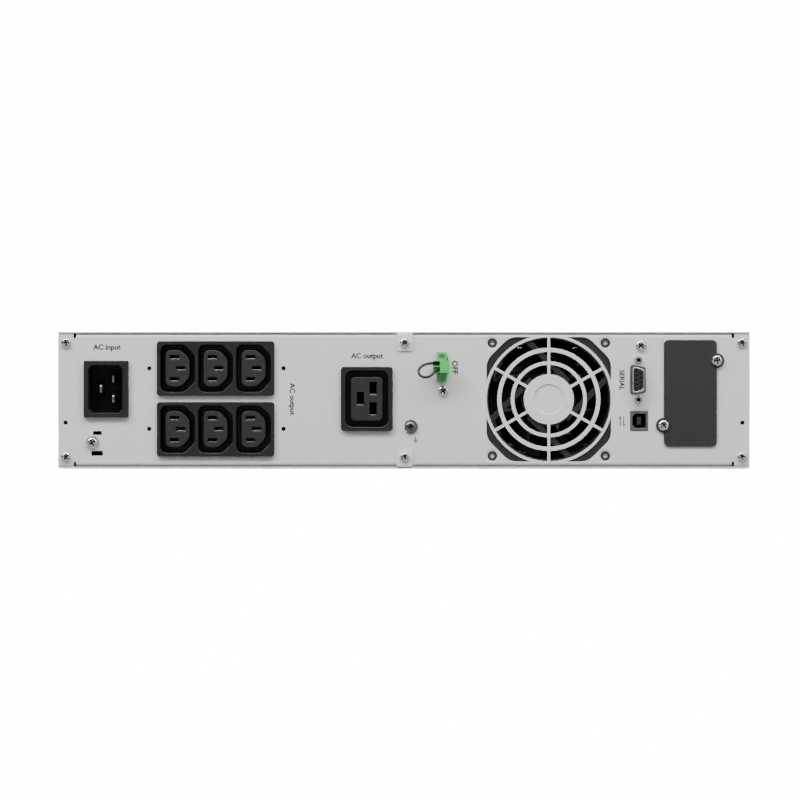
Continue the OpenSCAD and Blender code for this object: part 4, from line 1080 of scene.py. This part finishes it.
class RACK_OT_front(Operator):
    """Makes the moulded front, its display, buttons and thumb screws"""

    bl_idname = "rack.front"
    bl_label = "Front"

    def execute(self, context):
        softened("battery_fascia", 0.0006, "battery_drawer", "front_plastic", segments=3)
        softened("display_bezel", 0.0006, "case", "front_plastic", segments=3)
        softened("display_window", 0.0003, "case", "window_glass")
        for key in ("back", "down", "up", "enter"):
            softened("button_" + key, 0.0007, "key_" + key, "button_plastic", segments=3)
        self.thumb_screws()
        self.display_segments()
        self.key_signs()
        return {"FINISHED"}

    def display_segments(self):
        """Plain readout: digits, a row of level bars and a cell outline."""
        middle = middle_of("lcd_module")
        middle.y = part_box("lcd_module")[1].y
        lettering(
            "display_digits", "230", 21 * MM,
            facing_front(middle + Vector((10 * MM, 0, 5 * MM)), 180), "display_ink", "lcd_glass")
        bar_sign(
            "display_levels", LEVEL_BARS + CELL_OUTLINE + CELL_FILL + DISPLAY_RULE,
            facing_front(middle, 180), "lcd_glass", "display_ink")

    def key_signs(self):
        """Printed signs over the four keys."""
        for key, bars in KEY_SIGNS.items():
            low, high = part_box("button_" + key)
            spot = Vector(((low.x + high.x) / 2, FACE_Y, high.z + 3.2 * MM))
            bar_sign("key_sign_" + key, bars, facing_front(spot, 180), "front_plastic",
                     "front_ink")

    def thumb_screws(self):
        """Knurled captive screws with a slot."""
        shape = bmesh.new()
        low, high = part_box("drawer_screws")
        middle = (low.z + high.z) / 2
        base = high.y - KNOB_LENGTH * MM
        stem = (low.y - base) / MM
        for x in (low.x + KNOB_INSET * MM, high.x - KNOB_INSET * MM):
            knob = bmesh.new()
            lathe(knob, [*KNOB_PROFILE, (1.9, stem), (0, stem)], steps=KNURLS)
            for v in knob.verts:
                if v.co.xy.length > 4.25 * MM:
                    angle = math.atan2(v.co.y, v.co.x)
                    notch = 1 - 0.035 * (round(angle / (2 * math.pi) * KNURLS) % 2)
                    v.co.x *= notch
                    v.co.y *= notch
            stamp(shape, knob, facing_front(Vector((x, base, middle))))
            knob.free()
        finished("thumb_screws", shape, "battery_drawer", "nickel", "drawer_screws",
                 material="bright_steel")


class RACK_OT_inside(Operator):
    """Gives the drawer's battery tray, battery blocks and battery plug their finishes and soft
    edges
    """

    bl_idname = "rack.inside"
    bl_label = "Inside"

    def execute(self, context):
        softened("battery_tray", 0.0002, "battery_drawer", "plain_steel")
        softened("battery_blocks", 0.0012, "battery_drawer", "battery_case", segments=3)
        softened("battery_plug", 0.0008, "battery_drawer", "connector_blue")
        return {"FINISHED"}


class RACK_OT_carried_nodes(Operator):
    """Gives each CAD node that still shows the material of its slot"""

    bl_idname = "rack.carried_nodes"
    bl_label = "Other parts"

    def execute(self, context):
        slots = {row["node"]: row["material_slot"] for row in frame["record"]["subparts"]}
        for name, node in NODES.items():
            if node.hide_render:
                continue
            node.data.materials.clear()
            node.data.materials.append(LIBRARY[slots[name]])
        return {"FINISHED"}


# -------- panel and run


class RACK_PT_sidebar(Panel):
    """Lists the settings and the steps"""

    bl_label = "Rack UPS"
    bl_idname = "RACK_PT_sidebar"
    bl_space_type = "VIEW_3D"
    bl_region_type = "UI"
    bl_category = "Rack UPS"

    def draw(self, context):
        for group in (context.scene.rack_finish, context.scene.rack_detail):
            box = self.layout.box()
            for key in group.bl_rna.properties.keys():
                if key not in ("rna_type", "name"):
                    box.prop(group, key)
        for step in STEPS:
            self.layout.operator(step.bl_idname)


STEPS = [
    RACK_OT_stage, RACK_OT_remote_plug, RACK_OT_case, RACK_OT_printing, RACK_OT_sockets,
    RACK_OT_ports, RACK_OT_fasteners, RACK_OT_fan, RACK_OT_front, RACK_OT_inside,
    RACK_OT_carried_nodes]
CLASSES = [RackFinish, RackDetail, *STEPS, RACK_PT_sidebar]


def register():
    for cls in CLASSES:
        bpy.utils.register_class(cls)
    bpy.types.Scene.rack_finish = PointerProperty(type=RackFinish)
    bpy.types.Scene.rack_detail = PointerProperty(type=RackDetail)


def unregister():
    del bpy.types.Scene.rack_detail
    del bpy.types.Scene.rack_finish
    for cls in reversed(CLASSES):
        bpy.utils.unregister_class(cls)


def main():
    register()
    LIBRARY.update(make_materials(bpy.context.scene.rack_finish))
    for step in STEPS:
        group, call = step.bl_idname.split(".")
        getattr(getattr(bpy.ops, group), call)()
    bpy.context.view_layer.update()


if __name__ == "__main__":
    main()
